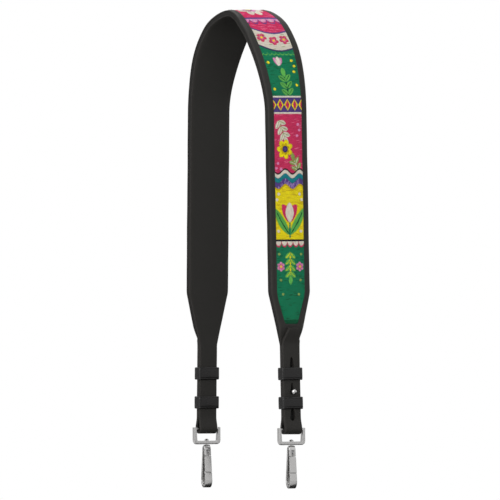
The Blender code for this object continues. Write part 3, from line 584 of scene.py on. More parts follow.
def prism(name, outline, low, high):
    """A closed prism over a flat outline that runs anticlockwise."""
    count = len(outline)
    points = [(x, y, z) for z in (low, high) for x, y in outline]
    faces = [tuple(reversed(range(count))), tuple(range(count, 2 * count))]
    faces += [(i, (i + 1) % count, count + (i + 1) % count, count + i) for i in range(count)]
    mesh = bpy.data.meshes.new(name)
    mesh.from_pydata(points, [], faces)
    return add_object(name, mesh)


def disc(centre, radius, steps=20):
    angles = np.linspace(0, 2 * math.pi, steps, endpoint=False)
    return [(centre + radius * math.cos(a), radius * math.sin(a)) for a in angles]


def grid_solid(name, stations, columns, low, high, open_cells=None):
    """A flat closed solid of quads between two height grids, over stations along it and columns across."""
    rows, across = columns.shape
    along = np.repeat(stations[:, None], across, axis=1)
    top = np.stack((along, columns, high), axis=2).reshape(-1, 3)
    bottom = np.stack((along, columns, low), axis=2).reshape(-1, 3)
    points = np.vstack((top, bottom))
    number = np.arange(rows * across).reshape(rows, across)
    under = number + rows * across
    kept = np.ones((rows - 1, across - 1), bool)
    if open_cells is not None:
        kept &= ~open_cells
    padded = np.pad(kept, 1)
    faces = []

    def add(mask, *corners):
        faces.append(np.stack([grid[mask] for grid in corners], axis=1))

    a, b, c, d = number[:-1, :-1], number[1:, :-1], number[1:, 1:], number[:-1, 1:]
    e, f, g, h = under[:-1, :-1], under[1:, :-1], under[1:, 1:], under[:-1, 1:]
    add(kept, a, b, c, d)
    add(kept, e, h, g, f)
    add(kept & ~padded[1:-1, :-2], e, f, b, a)
    add(kept & ~padded[1:-1, 2:], g, h, d, c)
    add(kept & ~padded[:-2, 1:-1], h, e, a, d)
    add(kept & ~padded[2:, 1:-1], f, g, c, b)
    quads = np.vstack(faces)
    used, quads = np.unique(quads, return_inverse=True)
    mesh = bpy.data.meshes.new(name)
    mesh.from_pydata(points[used].tolist(), [], quads.reshape(-1, 4).tolist())
    return add_object(name, mesh)


def rounded_profile(corners):
    """Points along a line of (along, across, radius) corners, with an arc at each inner corner."""
    points = [corners[0][:2]]
    for before, here, after in zip(corners, corners[1:], corners[2:]):
        corner = Vector(here[:2])
        back = (Vector(before[:2]) - corner).normalized()
        on = (Vector(after[:2]) - corner).normalized()
        half_turn = (math.pi - back.angle(on)) / 2
        reach = here[2] * math.tan(half_turn)
        start, end = corner + back * reach, corner + on * reach
        for share in np.linspace(0, 1, CORNER_STEPS + 1).tolist():
            points.append(tuple(start.lerp(corner, share).lerp(corner.lerp(end, share), share)))
    points.append(corners[-1][:2])
    return np.array(points)


STRAP_EDGE = rounded_profile([
    (0, BAND_WIDTH / 2, 0),
    (BAND_END, BAND_WIDTH / 2, SHOULDER_RADIUS),
    (WAIST, STRAP_WIDTH / 2, WAIST_RADIUS),
    (PATH.total - FLAP_TIP_LENGTH, STRAP_WIDTH / 2, TIP_RADIUS),
    (PATH.total, FLAP_TIP_WIDTH / 2, 0),
])
WINDOW_EDGE = rounded_profile([
    (0, BAND_WIDTH / 2 - BORDER_WIDTH, 0),
    (BAND_END, BAND_WIDTH / 2 - BORDER_WIDTH, SHOULDER_RADIUS),
    (WINDOW_END - WINDOW_RADIUS, WINDOW_END_WIDTH / 2 + WINDOW_RADIUS / 4, WINDOW_RADIUS),
    (WINDOW_END, WINDOW_END_WIDTH / 2 - WINDOW_RADIUS, 0),
])


def strap_half(far):
    return np.interp(far, STRAP_EDGE[:, 0], STRAP_EDGE[:, 1])


def window_half(far):
    return np.interp(far, WINDOW_EDGE[:, 0], WINDOW_EDGE[:, 1])


def both_ways(reach, marks=(), pitch=STATION):
    """Stations from one end of a piece to the other, with some at set lengths from the crest."""
    marks = sorted({0.0, reach, *[m for m in marks if m < reach]})
    stations = []
    for start, end in zip(marks, marks[1:]):
        count = max(1, round((end - start) / pitch))
        stations += list(np.linspace(start, end, count, endpoint=False))
    stations.append(reach)
    return np.array([-station for station in reversed(stations[1:])] + stations)


def lay(obj, finishes):
    """Ends a flat piece: maps it, marks its worn edges and walls, lays it on the path and gives it finishes.

    The first finish is for the faces of a ply and the second, where there is one, for its cut edges.
    """
    mesh = obj.data
    flat = coordinates(mesh)
    far = np.abs(flat[:, 0])
    inside = np.minimum(strap_half(far) - np.abs(flat[:, 1]), PATH.total - far)
    add_attribute(mesh, "wear", "FLOAT", 1 - np.clip(inside / WEAR_WIDTH, 0, 1))
    faces = len(mesh.polygons)
    normals = np.zeros(faces * 3, np.float32)
    mesh.polygons.foreach_get("normal", normals)
    walls = np.abs(normals.reshape(-1, 3)[:, 2]) < 0.8
    mesh.materials.clear()
    for finish in finishes:
        mesh.materials.append(FINISHES[finish])
    if len(finishes) > 1:
        mesh.polygons.foreach_set("material_index", walls.astype(np.int32))
    corners = np.zeros(len(mesh.loops), np.int32)
    mesh.loops.foreach_get("vertex_index", corners)
    owners = np.repeat(np.arange(faces), [len(p.vertices) for p in mesh.polygons])
    across = np.where(walls[owners], flat[corners, 2], flat[corners, 1])
    places = np.stack((flat[corners, 0], across), axis=1)
    layer = mesh.uv_layers.new(name="flat")
    layer.data.foreach_set("uv", places.astype(np.float32).ravel())
    set_coordinates(mesh, PATH.place(flat))
    soften(mesh)
    return obj


# Leather plies


def ease(far, across):
    """The outer ply's fall towards the band's edges, where the padding is pressed down."""
    inside = strap_half(far) - np.abs(across)
    raised = PATH.rise(far) / BAND_STEP
    return EDGE_EASE * raised * (1 - smooth(inside / EASE_WIDTH))


def keyhole(length, width, opened):
    """A round hole with a slit, opened by use, that narrows towards the flap's tip, drawn anticlockwise."""
    wide, slit = width / 2, opened / 2
    end = length + KEYHOLE_LENGTH - wide
    mouth = math.acos((wide - slit) / (end - length))
    angles = np.linspace(mouth, 2 * math.pi - mouth, 23)
    ring = [(length + wide * math.cos(a), wide * math.sin(a)) for a in angles]
    tip = [(end + slit * math.sin(a), -slit * math.cos(a)) for a in np.linspace(0, math.pi, 7)]
    return ring + tip


def keyhole_cutters(low, high):
    cutters = []
    for side in SIDES.values():
        for row, width, opened in KEYHOLES:
            outline = keyhole(PATH.on_flap(BAR_DROP - STUD_RISE - row * KEYHOLE_PITCH), width, opened)
            if side < 0:
                outline = [(-x, y) for x, y in reversed(outline)]
            cutters.append(prism("keyhole", outline, low - LEATHER, high + LEATHER))
    return cutters


def make_lining():
    marks = [BAND_END, WAIST, PATH.total - FLAP_TIP_LENGTH, PATH.total - 2 * TIP_RADIUS]
    stations = both_ways(PATH.total, marks)
    far = np.abs(stations)
    columns = strap_half(far)[:, None] * np.linspace(-1, 1, 13)
    low = ease(far[:, None], columns) * LINING_EASE_SHARE
    glued = np.where(far < PADDING_END, GLUE / 2, GLUE)[:, None] - SEAM
    obj = grid_solid("lining_skin", stations, columns, low, low * 0 + LEATHER + glued)
    add_bevel(obj, EDGE_ROUND, 2)
    settle(obj)
    cut(obj, keyhole_cutters(0, LEATHER))
    lay(obj, ["lining_leather", "painted_edge"])
    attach(obj, "strap")
    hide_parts("lining")


def make_padding():
    """The padding between the plies, with a recess for the embroidered ground and a full, rounded edge."""
    stations = both_ways(PADDING_END, [BAND_END, WINDOW_END])
    far = np.abs(stations)
    half = strap_half(far) - CORE_INSET
    recess = np.minimum(window_half(far) + CANVAS_HEM + GLUE, half - CANVAS_HEM)
    shares = [half, (half + recess) / 2, recess, recess - CANVAS_HEM / 4, recess / 2]
    columns = np.stack([-s for s in shares] + [half * 0] + shares[::-1], axis=1)
    room = np.minimum(CORE_RIM, PATH.rise(far) - GLUE)[:, None]
    sunk = (np.abs(columns) < recess[:, None] - TINY) & (far < WINDOW_END + CANVAS_HEM)[:, None]
    height = np.where(sunk, room * CORE_THICKNESS / CORE_RIM, PATH.rise(far)[:, None] - SEAM)
    base = LEATHER + GLUE / 2
    high = base + GLUE / 2 + height - ease(far[:, None], columns)
    obj = grid_solid("band_padding", stations, columns, columns * 0 + base, high)
    add_bevel(obj, PADDING_ROUND, 3)
    settle(obj)
    lay(obj, ["padding_edge"])
    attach(obj, "strap")
    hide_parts("core")


def make_border():
    """The outer ply: the frame round the embroidery, and the tongues' inner ply with the screws' pockets."""
    low = LEATHER + GLUE
    marks = [BAND_END, WINDOW_END - 2 * WINDOW_RADIUS, WINDOW_END - WINDOW_RADIUS / 2, WINDOW_END, WAIST]
    marks += [PATH.total - FLAP_TIP_LENGTH, PATH.total - 2 * TIP_RADIUS]
    stations = both_ways(PATH.total, marks)
    far = np.abs(stations)
    outer = strap_half(far)
    inner = np.minimum(window_half(far), outer * FRAME_LEAST_SHARE)
    frame_side = [outer, (2 * outer + inner) / 3, (outer + 2 * inner) / 3, inner]
    half = frame_side + [inner * 0.5]
    columns = np.stack([-s for s in half] + [inner * 0] + half[::-1], axis=1)
    base = low + PATH.rise(far)[:, None] - ease(far[:, None], columns)
    middle = (far[:-1] + far[1:]) / 2 < WINDOW_END
    open_cells = np.zeros((len(stations) - 1, columns.shape[1] - 1), bool)
    open_cells[middle, 3:-3] = True
    held = smooth((far - FLAP_START) / (2 * STATION))[:, None] * (GLUE - SEAM)
    obj = grid_solid("border_skin", stations, columns, base, base + LEATHER + held, open_cells)
    add_bevel(obj, EDGE_ROUND, 2)
    settle(obj)
    cutters = keyhole_cutters(low, low + LEATHER)
    for side in SIDES.values():
        middle = side * STUD_ALONG
        hole, pocket = (disc(middle, across / 2 + SCREW_PLAY) for across in (SCREW_SHANK, SCREW_HEAD))
        cutters.append(prism("screw_hole", hole, 0, 4 * LEATHER))
        cutters.append(prism("screw_pocket", pocket, 0, low + SCREW_POCKET))
    cut(obj, cutters)
    # Marks the tongue's outer face under the flap, which the leather finish darkens near black as painted
    # shade
    far = np.abs(coordinates(obj.data)[:, 0])
    top = PATH.on_tail(BAR_DROP - FLAP_LENGTH + FLAP_TIP_LENGTH)
    covered = (far > top) & (far < PATH.total - FLAP_TIP_LENGTH)
    add_attribute(obj.data, "covered", "FLOAT", covered.astype(float))
    lay(obj, ["outer_leather", "painted_edge"])
    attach(obj, "strap")
    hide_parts("front_border")


# Embroidery design: s runs along the strap from the crest and y across it, both in millimetres

BEND_SPAN = 38
RIPPLE_PITCH = 19
SEARCH_STEP = 0.5
PALETTE = {
    "raspberry": linear(212, 50, 99),
    "rose": linear(234, 114, 156),
    "orchid": linear(222, 140, 190),
    "lavender": linear(170, 145, 200),
    "violet": linear(88, 66, 138),
    "navy": linear(52, 46, 92),
    "black": linear(34, 28, 34),
    "cream": linear(226, 219, 204),
    "emerald": linear(0, 126, 86),
    "forest": linear(0, 80, 50),
    "leaf": linear(98, 184, 84),
    "olive": linear(144, 166, 84),
    "yellow": linear(246, 228, 14),
    "gold": linear(216, 182, 14),
    "teal": linear(20, 130, 140),
}


class Patch:
    """An area of one thread: its colour, where it is, and how its stitches run."""

    def __init__(self, colour, inside, angle=90, rays=None, length=4.2, layer=0, fleck=None):
        self.colour = colour
        self.inside = inside
        self.angle = angle
        self.rays = rays
        self.length = length
        self.layer = layer
        self.fleck = fleck


def band(start, end, bend=0.0, slant=0.0, ripple=0.0):
    """Between two lines across the strap that bend, slant and ripple alike."""

    def inside(s, y):
        bent, rippled = np.cos(math.pi * y / BEND_SPAN), np.sin(2 * math.pi * y / RIPPLE_PITCH)
        line = s - bend * bent - slant * y - ripple * rippled
        return (line > start) & (line < end)

    return inside


def scallops(line, depth, pitch, width=None):
    """Round lobes that hang from a line across the strap. With a width, only their rim."""

    def inside(s, y):
        lobe = np.sqrt(np.clip(1 - (2 * ((y / pitch + 0.5) % 1) - 1) ** 2, 0, 1)) * depth
        reach = s - line
        if width is None:
            return (reach > 0) & (reach < lobe)
        return (reach > lobe - width / 2) & (reach < lobe + width / 2)

    return inside


def petals(at, count, inner, outer, turn=0.0):
    """A flower of round petals."""

    def inside(s, y):
        away, angle = np.hypot(s - at[0], y - at[1]), np.arctan2(y - at[1], s - at[0])
        edge = inner + (outer - inner) * np.abs(np.cos(count * (angle - turn) / 2)) ** 0.55
        return away < edge

    return inside


def circle(at, outer, inner=0.0):
    """A disc, or with an inner radius a ring."""

    def inside(s, y):
        away = np.hypot(s - at[0], y - at[1])
        return (away < outer) & (away >= inner)

    return inside


def leaf(at, degrees, length, width, rib=None, hook=0.0):
    """A pointed leaf from its foot, or with a rib width only its midrib. A hook bends it to one side."""
    turn = math.radians(degrees)

    def inside(s, y):
        along = (s - at[0]) * math.cos(turn) + (y - at[1]) * math.sin(turn)
        across = -(s - at[0]) * math.sin(turn) + (y - at[1]) * math.cos(turn)
        share = along / length
        across = across - hook * length * share * (1 - share)
        half = width / 2 * np.clip(4 * share * (1 - share), 0, 1) ** 0.8
        if rib is not None:
            half = np.where((share > 0.06) & (share < 0.86), rib / 2, 0)
        return (share > 0) & (share < 1) & (np.abs(across) < half)

    return inside


def diamonds(line, pitch, long, wide, inset=0.0):
    """A chain of diamonds across the strap, centred on a line."""

    def inside(s, y):
        place = np.abs(((y / pitch + 0.5) % 1) - 0.5) * pitch
        return np.abs(s - line) / (long / 2 - inset) + place / (wide / 2 - inset) < 1

    return inside


def dots(places, radius):
    return lambda s, y: np.any([np.hypot(s - a, y - b) < radius for a, b in places], axis=0)


def flower(at, count, outer, petal, heart, eye, turn=0.0):
    """Petals with a darker throat, a ring and an eye."""
    return [
        Patch(petal, petals(at, count, outer * 0.52, outer, turn), rays=at, length=3.4, layer=1),
        Patch(heart, petals(at, count, outer * 0.30, outer * 0.56, turn), rays=at, length=2.4, layer=2),
        Patch(eye, circle(at, outer * 0.24), rays=at, length=1.8, layer=3),
    ]


def sprig(at, degrees, colour, rib, size=1.0, pairs=3):
    """A stem with pairs of leaves and one at its tip."""
    turn = math.radians(degrees)
    along = np.array((math.cos(turn), math.sin(turn)))
    step, long = 7.5 * size, 10.5 * size
    patches = [Patch(rib, leaf(at, degrees, step * (pairs + 0.6), 0, rib=1.3), degrees, length=3, layer=1)]
    for pair in range(pairs):
        foot = np.array(at) + along * step * (pair + 0.35)
        for side in (-1, 1):
            way = degrees + side * 48
            blade = leaf(foot, way, long, 5.4 * size, hook=-side * 0.2)
            midrib = leaf(foot, way, long, 0, rib=0.7, hook=-side * 0.2)
            patches.append(Patch(colour, blade, way + 28, length=3, layer=1))
            patches.append(Patch(rib, midrib, way, length=2.4, layer=2))
    tip = np.array(at) + along * step * pairs
    patches.append(Patch(colour, leaf(tip, degrees, 11 * size, 5.8 * size), degrees + 28, length=3, layer=1))
    return patches


def tulip(at, degrees, outer, inner, size=1.0):
    """Three cupped petals on a short foot."""
    patches = []
    for way, colour, layer in ((-26, outer, 1), (26, outer, 1), (0, inner, 2)):
        shape = leaf(at, degrees + way, 17 * size, 8.6 * size, hook=-0.012 * way)
        patches.append(Patch(colour, shape, degrees + way, length=3.6, layer=layer))
    return patches


def flower_row(line, bend, slant):
    """Three small flowers side by side across the strap."""
    places = [(line + slant * y - y * y * bend, y) for y in (-12, 0, 12)]
    return [patch for at in places for patch in flower(at, 5, 5.4, "raspberry", "rose", "yellow")]


def spread_leaves(at, degrees, length):
    """Two broad leaves with midribs that open to both sides of a stem."""
    patches = []
    for way in (-degrees, degrees):
        blade = leaf(at, 180 + way, length, 9, hook=way * 0.004)
        midrib = leaf(at, 180 + way, length, 0, rib=1.1, hook=way * 0.004)
        patches.append(Patch("leaf", blade, 180 + way + 24, length=3.6, layer=1))
        patches.append(Patch("forest", midrib, 180 + way, length=3, layer=2))
    return patches


def seeds(colour, places, radius, length=2.2):
    """Scattered round spots."""
    return Patch(colour, dots(places, radius), 0, length=length, layer=1)


# From the crest down one leg. Later patches lie over earlier ones.
PATCHES = [
    Patch("raspberry", band(-60, 60), 84, length=4.6, fleck=("rose", 0.10)),
    *flower((0, 0), 8, 16.5, "cream", "orchid", "yellow", 0.39),
    Patch("navy", circle((0, 0), 5.2, 4.1), rays=(0, 0), length=1.3, layer=3),
    Patch("violet", scallops(22, 7.5, 9.5, 1.5), 0, length=1.6, layer=1),
    Patch("orchid", scallops(22, 5.6, 9.5), 0, length=3.4, layer=1, fleck=("cream", 0.2)),
    Patch("violet", band(20.4, 22.3), 0, length=2.0, layer=2),
    Patch("cream", band(38, 58, bend=5, slant=0.12), 96, length=4.2, layer=1, fleck=("olive", 0.04)),
    Patch("violet", band(36.6, 38.3, bend=5, slant=0.12), 4, length=2.0, layer=2),
    Patch("navy", band(57.4, 59.2, bend=5, slant=0.12), 4, length=2.0, layer=2),
    *flower_row(51.5, 0.018, 0.12),
    Patch("emerald", band(59, 118, bend=5, slant=0.12), 88, length=4.6, fleck=("forest", 0.08)),
    Patch("leaf", scallops(64.5, 3.2, 4.75, 1.1), 0, length=1.4, layer=1),
    *sprig((113, 3), 186, "leaf", "forest", 0.95, 3),
    *tulip((80, -3), 178, "orchid", "cream", 0.62),
    seeds("yellow", [(74, 13), (80, 15), (86, 13.4), (76, -14.5), (100, 14.5), (104, -14)], 1.5, 2.0),
    Patch("violet", band(112, 128), 90, length=3.8, layer=1),
    Patch("yellow", diamonds(120, 9.5, 12, 9), 0, length=3.4, layer=2),
    Patch("raspberry", diamonds(120, 9.5, 12, 9, 1.6), 90, length=2.6, layer=3),
    Patch("cream", band(111, 112.8), 0, length=2.0, layer=2),
    Patch("cream", band(127.2, 129), 0, length=2.0, layer=2),
    Patch("raspberry", band(129, 196), 97, length=4.6, fleck=("rose", 0.07)),
    *sprig((134, -13), 24, "cream", "olive", 0.92, 3),
    *sprig((190, 13), 204, "olive", "cream", 0.86, 2),
    *flower((166, -4.5), 7, 10.5, "yellow", "gold", "violet", 0.2),
    Patch("navy", circle((166, -4.5), 3.4, 2.5), rays=(166, -4.5), length=1.2, layer=4),
    seeds("orchid", [(140, 13), (146, 15), (152, 12), (181, -14), (187, -10), (186, -16)], 1.6),
    Patch("cream", band(190, 194, ripple=2.6), 2, length=3.6, layer=2),
    Patch("teal", band(194, 199, ripple=2.6), 2, length=3.8, layer=2),
    Patch("black", band(188.6, 190, ripple=2.6), 2, length=1.6, layer=3),
    Patch("yellow", band(203.6, 262), 82, length=4.6, fleck=("gold", 0.12)),
    Patch("violet", band(199, 205, ripple=2.6), 2, length=3.8, layer=1, fleck=("lavender", 0.25)),
    Patch("gold", band(205, 206.6, ripple=2.6), 2, length=1.6, layer=2),
    *spread_leaves((256, 0), 34, 34),
    *tulip((243, 0), 180, "raspberry", "cream", 1.25),
    Patch("emerald", leaf((260, 0), 180, 20, 0, rib=2.0), 180, length=3, layer=1),
    seeds("cream", [(213, 14), (213, -14), (219, 16.4), (219, -16.4), (252, 15), (252, -15)], 1.7),
    Patch("emerald", band(262, 360), 92, length=4.6, fleck=("forest", 0.08)),
    Patch("cream", scallops(262, 6.0, 7.6), 0, length=3.2, layer=1),
    Patch("raspberry", scallops(262, 6.0, 7.6, 1.4), 0, length=1.6, layer=2),
    Patch("black", band(260.6, 262.4), 0, length=1.9, layer=2),
    *sprig((272, 0), 0, "leaf", "yellow", 0.88, 4),
    *flower((289, 12.5), 6, 5.2, "orchid", "rose", "yellow"),
    *flower((289, -12.5), 6, 5.2, "orchid", "rose", "yellow"),
    seeds("olive", [(276, 14.5), (276, -14.5), (303, 13), (303, -13), (318, 10.5), (318, -10.5)], 1.5, 2.0),
    Patch("forest", band(344.5, 352), 0, length=2.2, layer=1),
]


def patch_reach(patch):
    """How far along the strap a patch goes, found on a coarse grid."""
    s, y = np.meshgrid(np.arange(-20, 375, SEARCH_STEP), np.arange(-21, 21.1, SEARCH_STEP))
    inside = s[patch.inside(s, y)]
    return (inside.min() - 1, inside.max() + 1) if len(inside) else (0, 0)


REACHES = [patch_reach(patch) for patch in PATCHES]


def patch_at(s, y):
    """The number of the topmost patch at each place, in mm. The other leg's design is turned half round."""
    turned = np.where(s < 0, -1, 1)
    s, y = (s * turned).ravel(), (y * turned).ravel()
    found = np.zeros(len(s), int)
    for number, (patch, (start, end)) in enumerate(zip(PATCHES, REACHES)):
        near = np.flatnonzero((s > start) & (s < end))
        found[near[patch.inside(s[near], y[near])]] = number
    return found.reshape(np.shape(turned))


def row_stitches(patch, span, dice):
    """Middles and angles of stitches in parallel rows, from where a patch starts to where it ends."""
    angle = math.radians(patch.angle)
    middle = (span[0] + span[1]) / 2
    reach = math.hypot((span[1] - span[0]) / 2, FIELD_REACH)
    rows = np.arange(-reach, reach, THREAD_PITCH)
    steps = np.arange(-reach, reach, patch.length)
    across, along = np.meshgrid(rows, steps, indexing="ij")
    stagger = (np.arange(len(rows)) * ROW_STAGGER_SHARE) % 1
    along = along + stagger[:, None] * patch.length + dice.normal(0, ROW_SPREAD, along.shape)
    s = middle + along * math.cos(angle) + across * math.sin(angle)
    y = along * math.sin(angle) - across * math.cos(angle)
    return s.ravel(), y.ravel(), np.full(s.size, angle)


def ray_stitches(patch, dice):
    """Middles and angles of stitches that run outwards from a flower's middle."""
    middles, turns = [], []
    for ring in range(8):
        away = patch.length * (ring + 0.5)
        count = max(6, int(2 * math.pi * away / (THREAD_PITCH * 1.05)))
        turn = 2 * math.pi * (np.arange(count) + 0.5 * (ring % 2)) / count
        far = away + dice.normal(0, RAY_SPREAD_SHARE * patch.length, count)
        way = np.stack((np.cos(turn), np.sin(turn)), axis=1)
        middles.append(np.array(patch.rays) + far[:, None] * way)
        turns.append(turn)
    middles = np.vstack(middles)
    return middles[:, 0], middles[:, 1], np.concatenate(turns)


def stitch_plan(side):
    """All stitches of one leg: places, angles, lengths, layers and colours, each trimmed to its patch."""
    dice = np.random.default_rng(SEED + side)
    reach = WINDOW_END / MM
    shares = np.linspace(-0.5, 0.5, TRIM_STEPS)
    plan = []
    for number, patch in enumerate(PATCHES):
        start, end = REACHES[number]
        if patch.rays:
            s, y, angle = ray_stitches(patch, dice)
        else:
            s, y, angle = row_stitches(patch, (start, end), dice)
        near = (s > max(start, -3)) & (s < min(end, reach + 3)) & (np.abs(y) < FIELD_REACH)
        s, y, angle = s[near], y[near], angle[near]
        third = patch.length * 0.3
        along_s, along_y = third * np.cos(angle), third * np.sin(angle)
        touching = np.any([patch.inside(s + k * along_s, y + k * along_y) for k in (-1, 0, 1)], axis=0)
        s, y, angle = s[touching], y[touching], angle[touching]
        if not len(s):
            continue
        over = patch.length * THREAD_OVERLAP * shares
        line_s = s[:, None] + np.cos(angle)[:, None] * over
        line_y = y[:, None] + np.sin(angle)[:, None] * over
        ends = np.interp(np.abs(line_s), WINDOW_EDGE[:, 0] / MM, WINDOW_EDGE[:, 1] / MM) - FIELD_PLAY / MM
        held = (patch_at(line_s, line_y) == number) & (np.abs(line_y) < ends)
        held &= (line_s < reach - FIELD_PLAY / MM) & (line_s >= 0)
        enough = held.sum(axis=1) >= 3
        line_s, line_y, held, angle = line_s[enough], line_y[enough], held[enough], angle[enough]
        if not len(line_s):
            continue
        first = held.argmax(axis=1)
        last = len(shares) - 1 - held[:, ::-1].argmax(axis=1)
        pick = np.arange(len(first))
        tail = np.stack((line_s[pick, first], line_y[pick, first]), axis=1)
        head = np.stack((line_s[pick, last], line_y[pick, last]), axis=1)
        length = np.linalg.norm(head - tail, axis=1) + THREAD_ENDS
        middle = (tail + head) / 2
        shade = np.tile(PALETTE[patch.colour], (len(first), 1))
        if patch.fleck:
            drift = 0.5 + 0.5 * np.sin(middle[:, 0] * 0.22 + 0.4) * np.cos(middle[:, 1] * 0.15)
            picked = dice.random(len(first)) < patch.fleck[1] * 2 * drift
            shade[picked] = PALETTE[patch.fleck[0]]
        shade[:, :3] *= dice.normal(1, SHADE_SPREAD, (len(first), 1))
        layer = np.full(len(first), patch.layer)
        plan.append(np.column_stack((middle, angle, length, layer, np.clip(shade, 0, 1))))
    plan = np.vstack(plan)
    plan[:, :2] *= side
    return plan


def field_height(far, across):
    """The embroidered field's crowned surface."""
    half = window_half(far)
    share = np.clip(np.abs(across) / half, 0, 1)
    top = LEATHER + GLUE + BAND_STEP + LEATHER - FIELD_SINK
    return top + FIELD_CROWN * (1 - share**3)


def stitch_mesh(name):
    """One raised stitch of unit length, width and height, tapered to its ends, with a map along it."""
    rings = [(-0.5, 0.45, 0.15), (-0.28, 1.0, 0.95), (0.28, 1.0, 0.95), (0.5, 0.45, 0.15)]
    points, faces = [], []
    for x, width, height in rings:
        points += [(x, -width / 2, 0), (x, 0, height), (x, width / 2, 0)]
    for ring in range(3):
        for k in range(3):
            a, b = 3 * ring + k, 3 * ring + (k + 1) % 3
            faces.append((a, a + 3, b + 3, b))
    faces += [(0, 1, 2), (9, 11, 10)]
    mesh = bpy.data.meshes.new(name)
    mesh.from_pydata(points, [], faces)
    layer = mesh.uv_layers.new(name="strand")
    for loop in mesh.loops:
        x, y, _ = points[loop.vertex_index]
        layer.data[loop.index].uv = (x + 0.5, y + 0.5)
    mesh.shade_smooth()
    return add_object(name, mesh)


def stitching_tree(finish):
    """Lays a stitch on every point, turned and sized by the point's own attributes."""
    tree = bpy.data.node_groups.new("stitching", "GeometryNodeTree")
    for socket, kind in (("Points", "Geometry"), ("Stitch", "Object"), ("Fullness", "Float")):
        tree.interface.new_socket(socket, in_out="INPUT", socket_type=f"NodeSocket{kind}")
    tree.interface.new_socket("Stitches", in_out="OUTPUT", socket_type="NodeSocketGeometry")
    add, link = tree.nodes.new, tree.links.new

    def vector_of(name):
        node = add("GeometryNodeInputNamedAttribute")
        node.data_type = "FLOAT_VECTOR"
        node.inputs["Name"].default_value = name
        return node.outputs["Attribute"]

    given, result = add("NodeGroupInput"), add("NodeGroupOutput")
    stitch = add("GeometryNodeObjectInfo")
    link(given.outputs["Stitch"], stitch.inputs["Object"])
    place = add("GeometryNodeInstanceOnPoints")
    link(given.outputs["Points"], place.inputs["Points"])
    link(stitch.outputs["Geometry"], place.inputs["Instance"])
    rotate = add("FunctionNodeEulerToRotation")
    link(vector_of("turn"), rotate.inputs["Euler"])
    link(rotate.outputs["Rotation"], place.inputs["Rotation"])
    reach = add("ShaderNodeCombineXYZ")
    reach.inputs["X"].default_value = 1.0
    link(given.outputs["Fullness"], reach.inputs["Y"])
    link(given.outputs["Fullness"], reach.inputs["Z"])
    fuller = add("ShaderNodeVectorMath")
    fuller.operation = "MULTIPLY"
    link(vector_of("size"), fuller.inputs[0])
    link(reach.outputs["Vector"], fuller.inputs[1])
    link(fuller.outputs["Vector"], place.inputs["Scale"])
    realize = add("GeometryNodeRealizeInstances")
    link(place.outputs["Instances"], realize.inputs["Geometry"])
    paint = add("GeometryNodeSetMaterial")
    paint.inputs["Material"].default_value = FINISHES[finish]
    link(realize.outputs["Geometry"], paint.inputs["Geometry"])
    link(paint.outputs["Geometry"], result.inputs["Stitches"])
    return tree


def sew(name, places, angles, sizes, colours, finish, fullness=1.0):
    """A piece of stitches from flat places, laid on the strap's path."""
    mesh = bpy.data.meshes.new(name)
    mesh.from_pydata(places.tolist(), [], [])
    add_attribute(mesh, "turn", "FLOAT_VECTOR", np.column_stack((angles * 0, angles * 0, angles)))
    add_attribute(mesh, "size", "FLOAT_VECTOR", sizes)
    add_attribute(mesh, "thread", "FLOAT_COLOR", colours)
    obj = add_object(name, mesh)
    stitch = stitch_mesh(name + "_stitch")
    tree = stitching_tree(finish)
    modifier = obj.modifiers.new("stitching", "NODES")
    modifier.node_group = tree
    given = {"Stitch": stitch, "Fullness": fullness}
    for item in tree.interface.items_tree:
        if item.name in given:
            modifier[item.identifier] = given[item.name]
    settle(obj)
    bpy.data.objects.remove(stitch, do_unlink=True)
    set_coordinates(obj.data, PATH.place(coordinates(obj.data)))
    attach(obj, "strap")
    return obj


def make_ground():
    """The embroidered canvas: hemmed under the border, crowned in the window, coloured as its stitches."""
    stations = both_ways(WINDOW_END + CANVAS_HEM, [BAND_END, WINDOW_END - FIELD_PLAY], 0.0015)
    far = np.abs(stations)
    field = window_half(far) - FIELD_PLAY
    hem = np.minimum(window_half(far) + CANVAS_HEM, strap_half(far) - CANVAS_HEM)
    shares = np.linspace(-1, 1, 25)
    foot = field + FIELD_PLAY / 2
    columns = np.column_stack((-hem, -foot, field[:, None] * shares, foot, hem))
    low = LEATHER + GLUE + CORE_THICKNESS + GLUE
    raised = (np.abs(columns) <= field[:, None] + TINY) & (far < WINDOW_END - FIELD_PLAY / 2)[:, None]
    high = np.where(raised, field_height(far[:, None], columns), low + CANVAS)
    obj = grid_solid("embroidered_ground", stations, columns, columns * 0 + low, high)
    flat = coordinates(obj.data)
    colours = np.array([PALETTE[patch.colour] for patch in PATCHES])
    topmost = patch_at(flat[:, 0] / MM, flat[:, 1] / MM)
    add_attribute(obj.data, "thread", "FLOAT_COLOR", colours[topmost])
    lay(obj, ["canvas_ground"])
    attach(obj, "strap")
    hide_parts("embroidered_panel")


def make_threads():
    for label, side in SIDES.items():
        plan = stitch_plan(side)
        places = plan[:, :2] * MM
        height = field_height(np.abs(places[:, 0]), places[:, 1])
        height = height + (plan[:, 4] * LAYER_RISE + LOWEST_LAYER) * MM
        places = np.column_stack((places, height))
        sizes = np.tile((0.0, THREAD_WIDTH, THREAD_HEIGHT), (len(plan), 1))
        sizes[:, 0] = plan[:, 3] * MM
        obj = sew(f"{label}_embroidery", places, plan[:, 2], sizes, plan[:, 5:9], "cotton_thread")


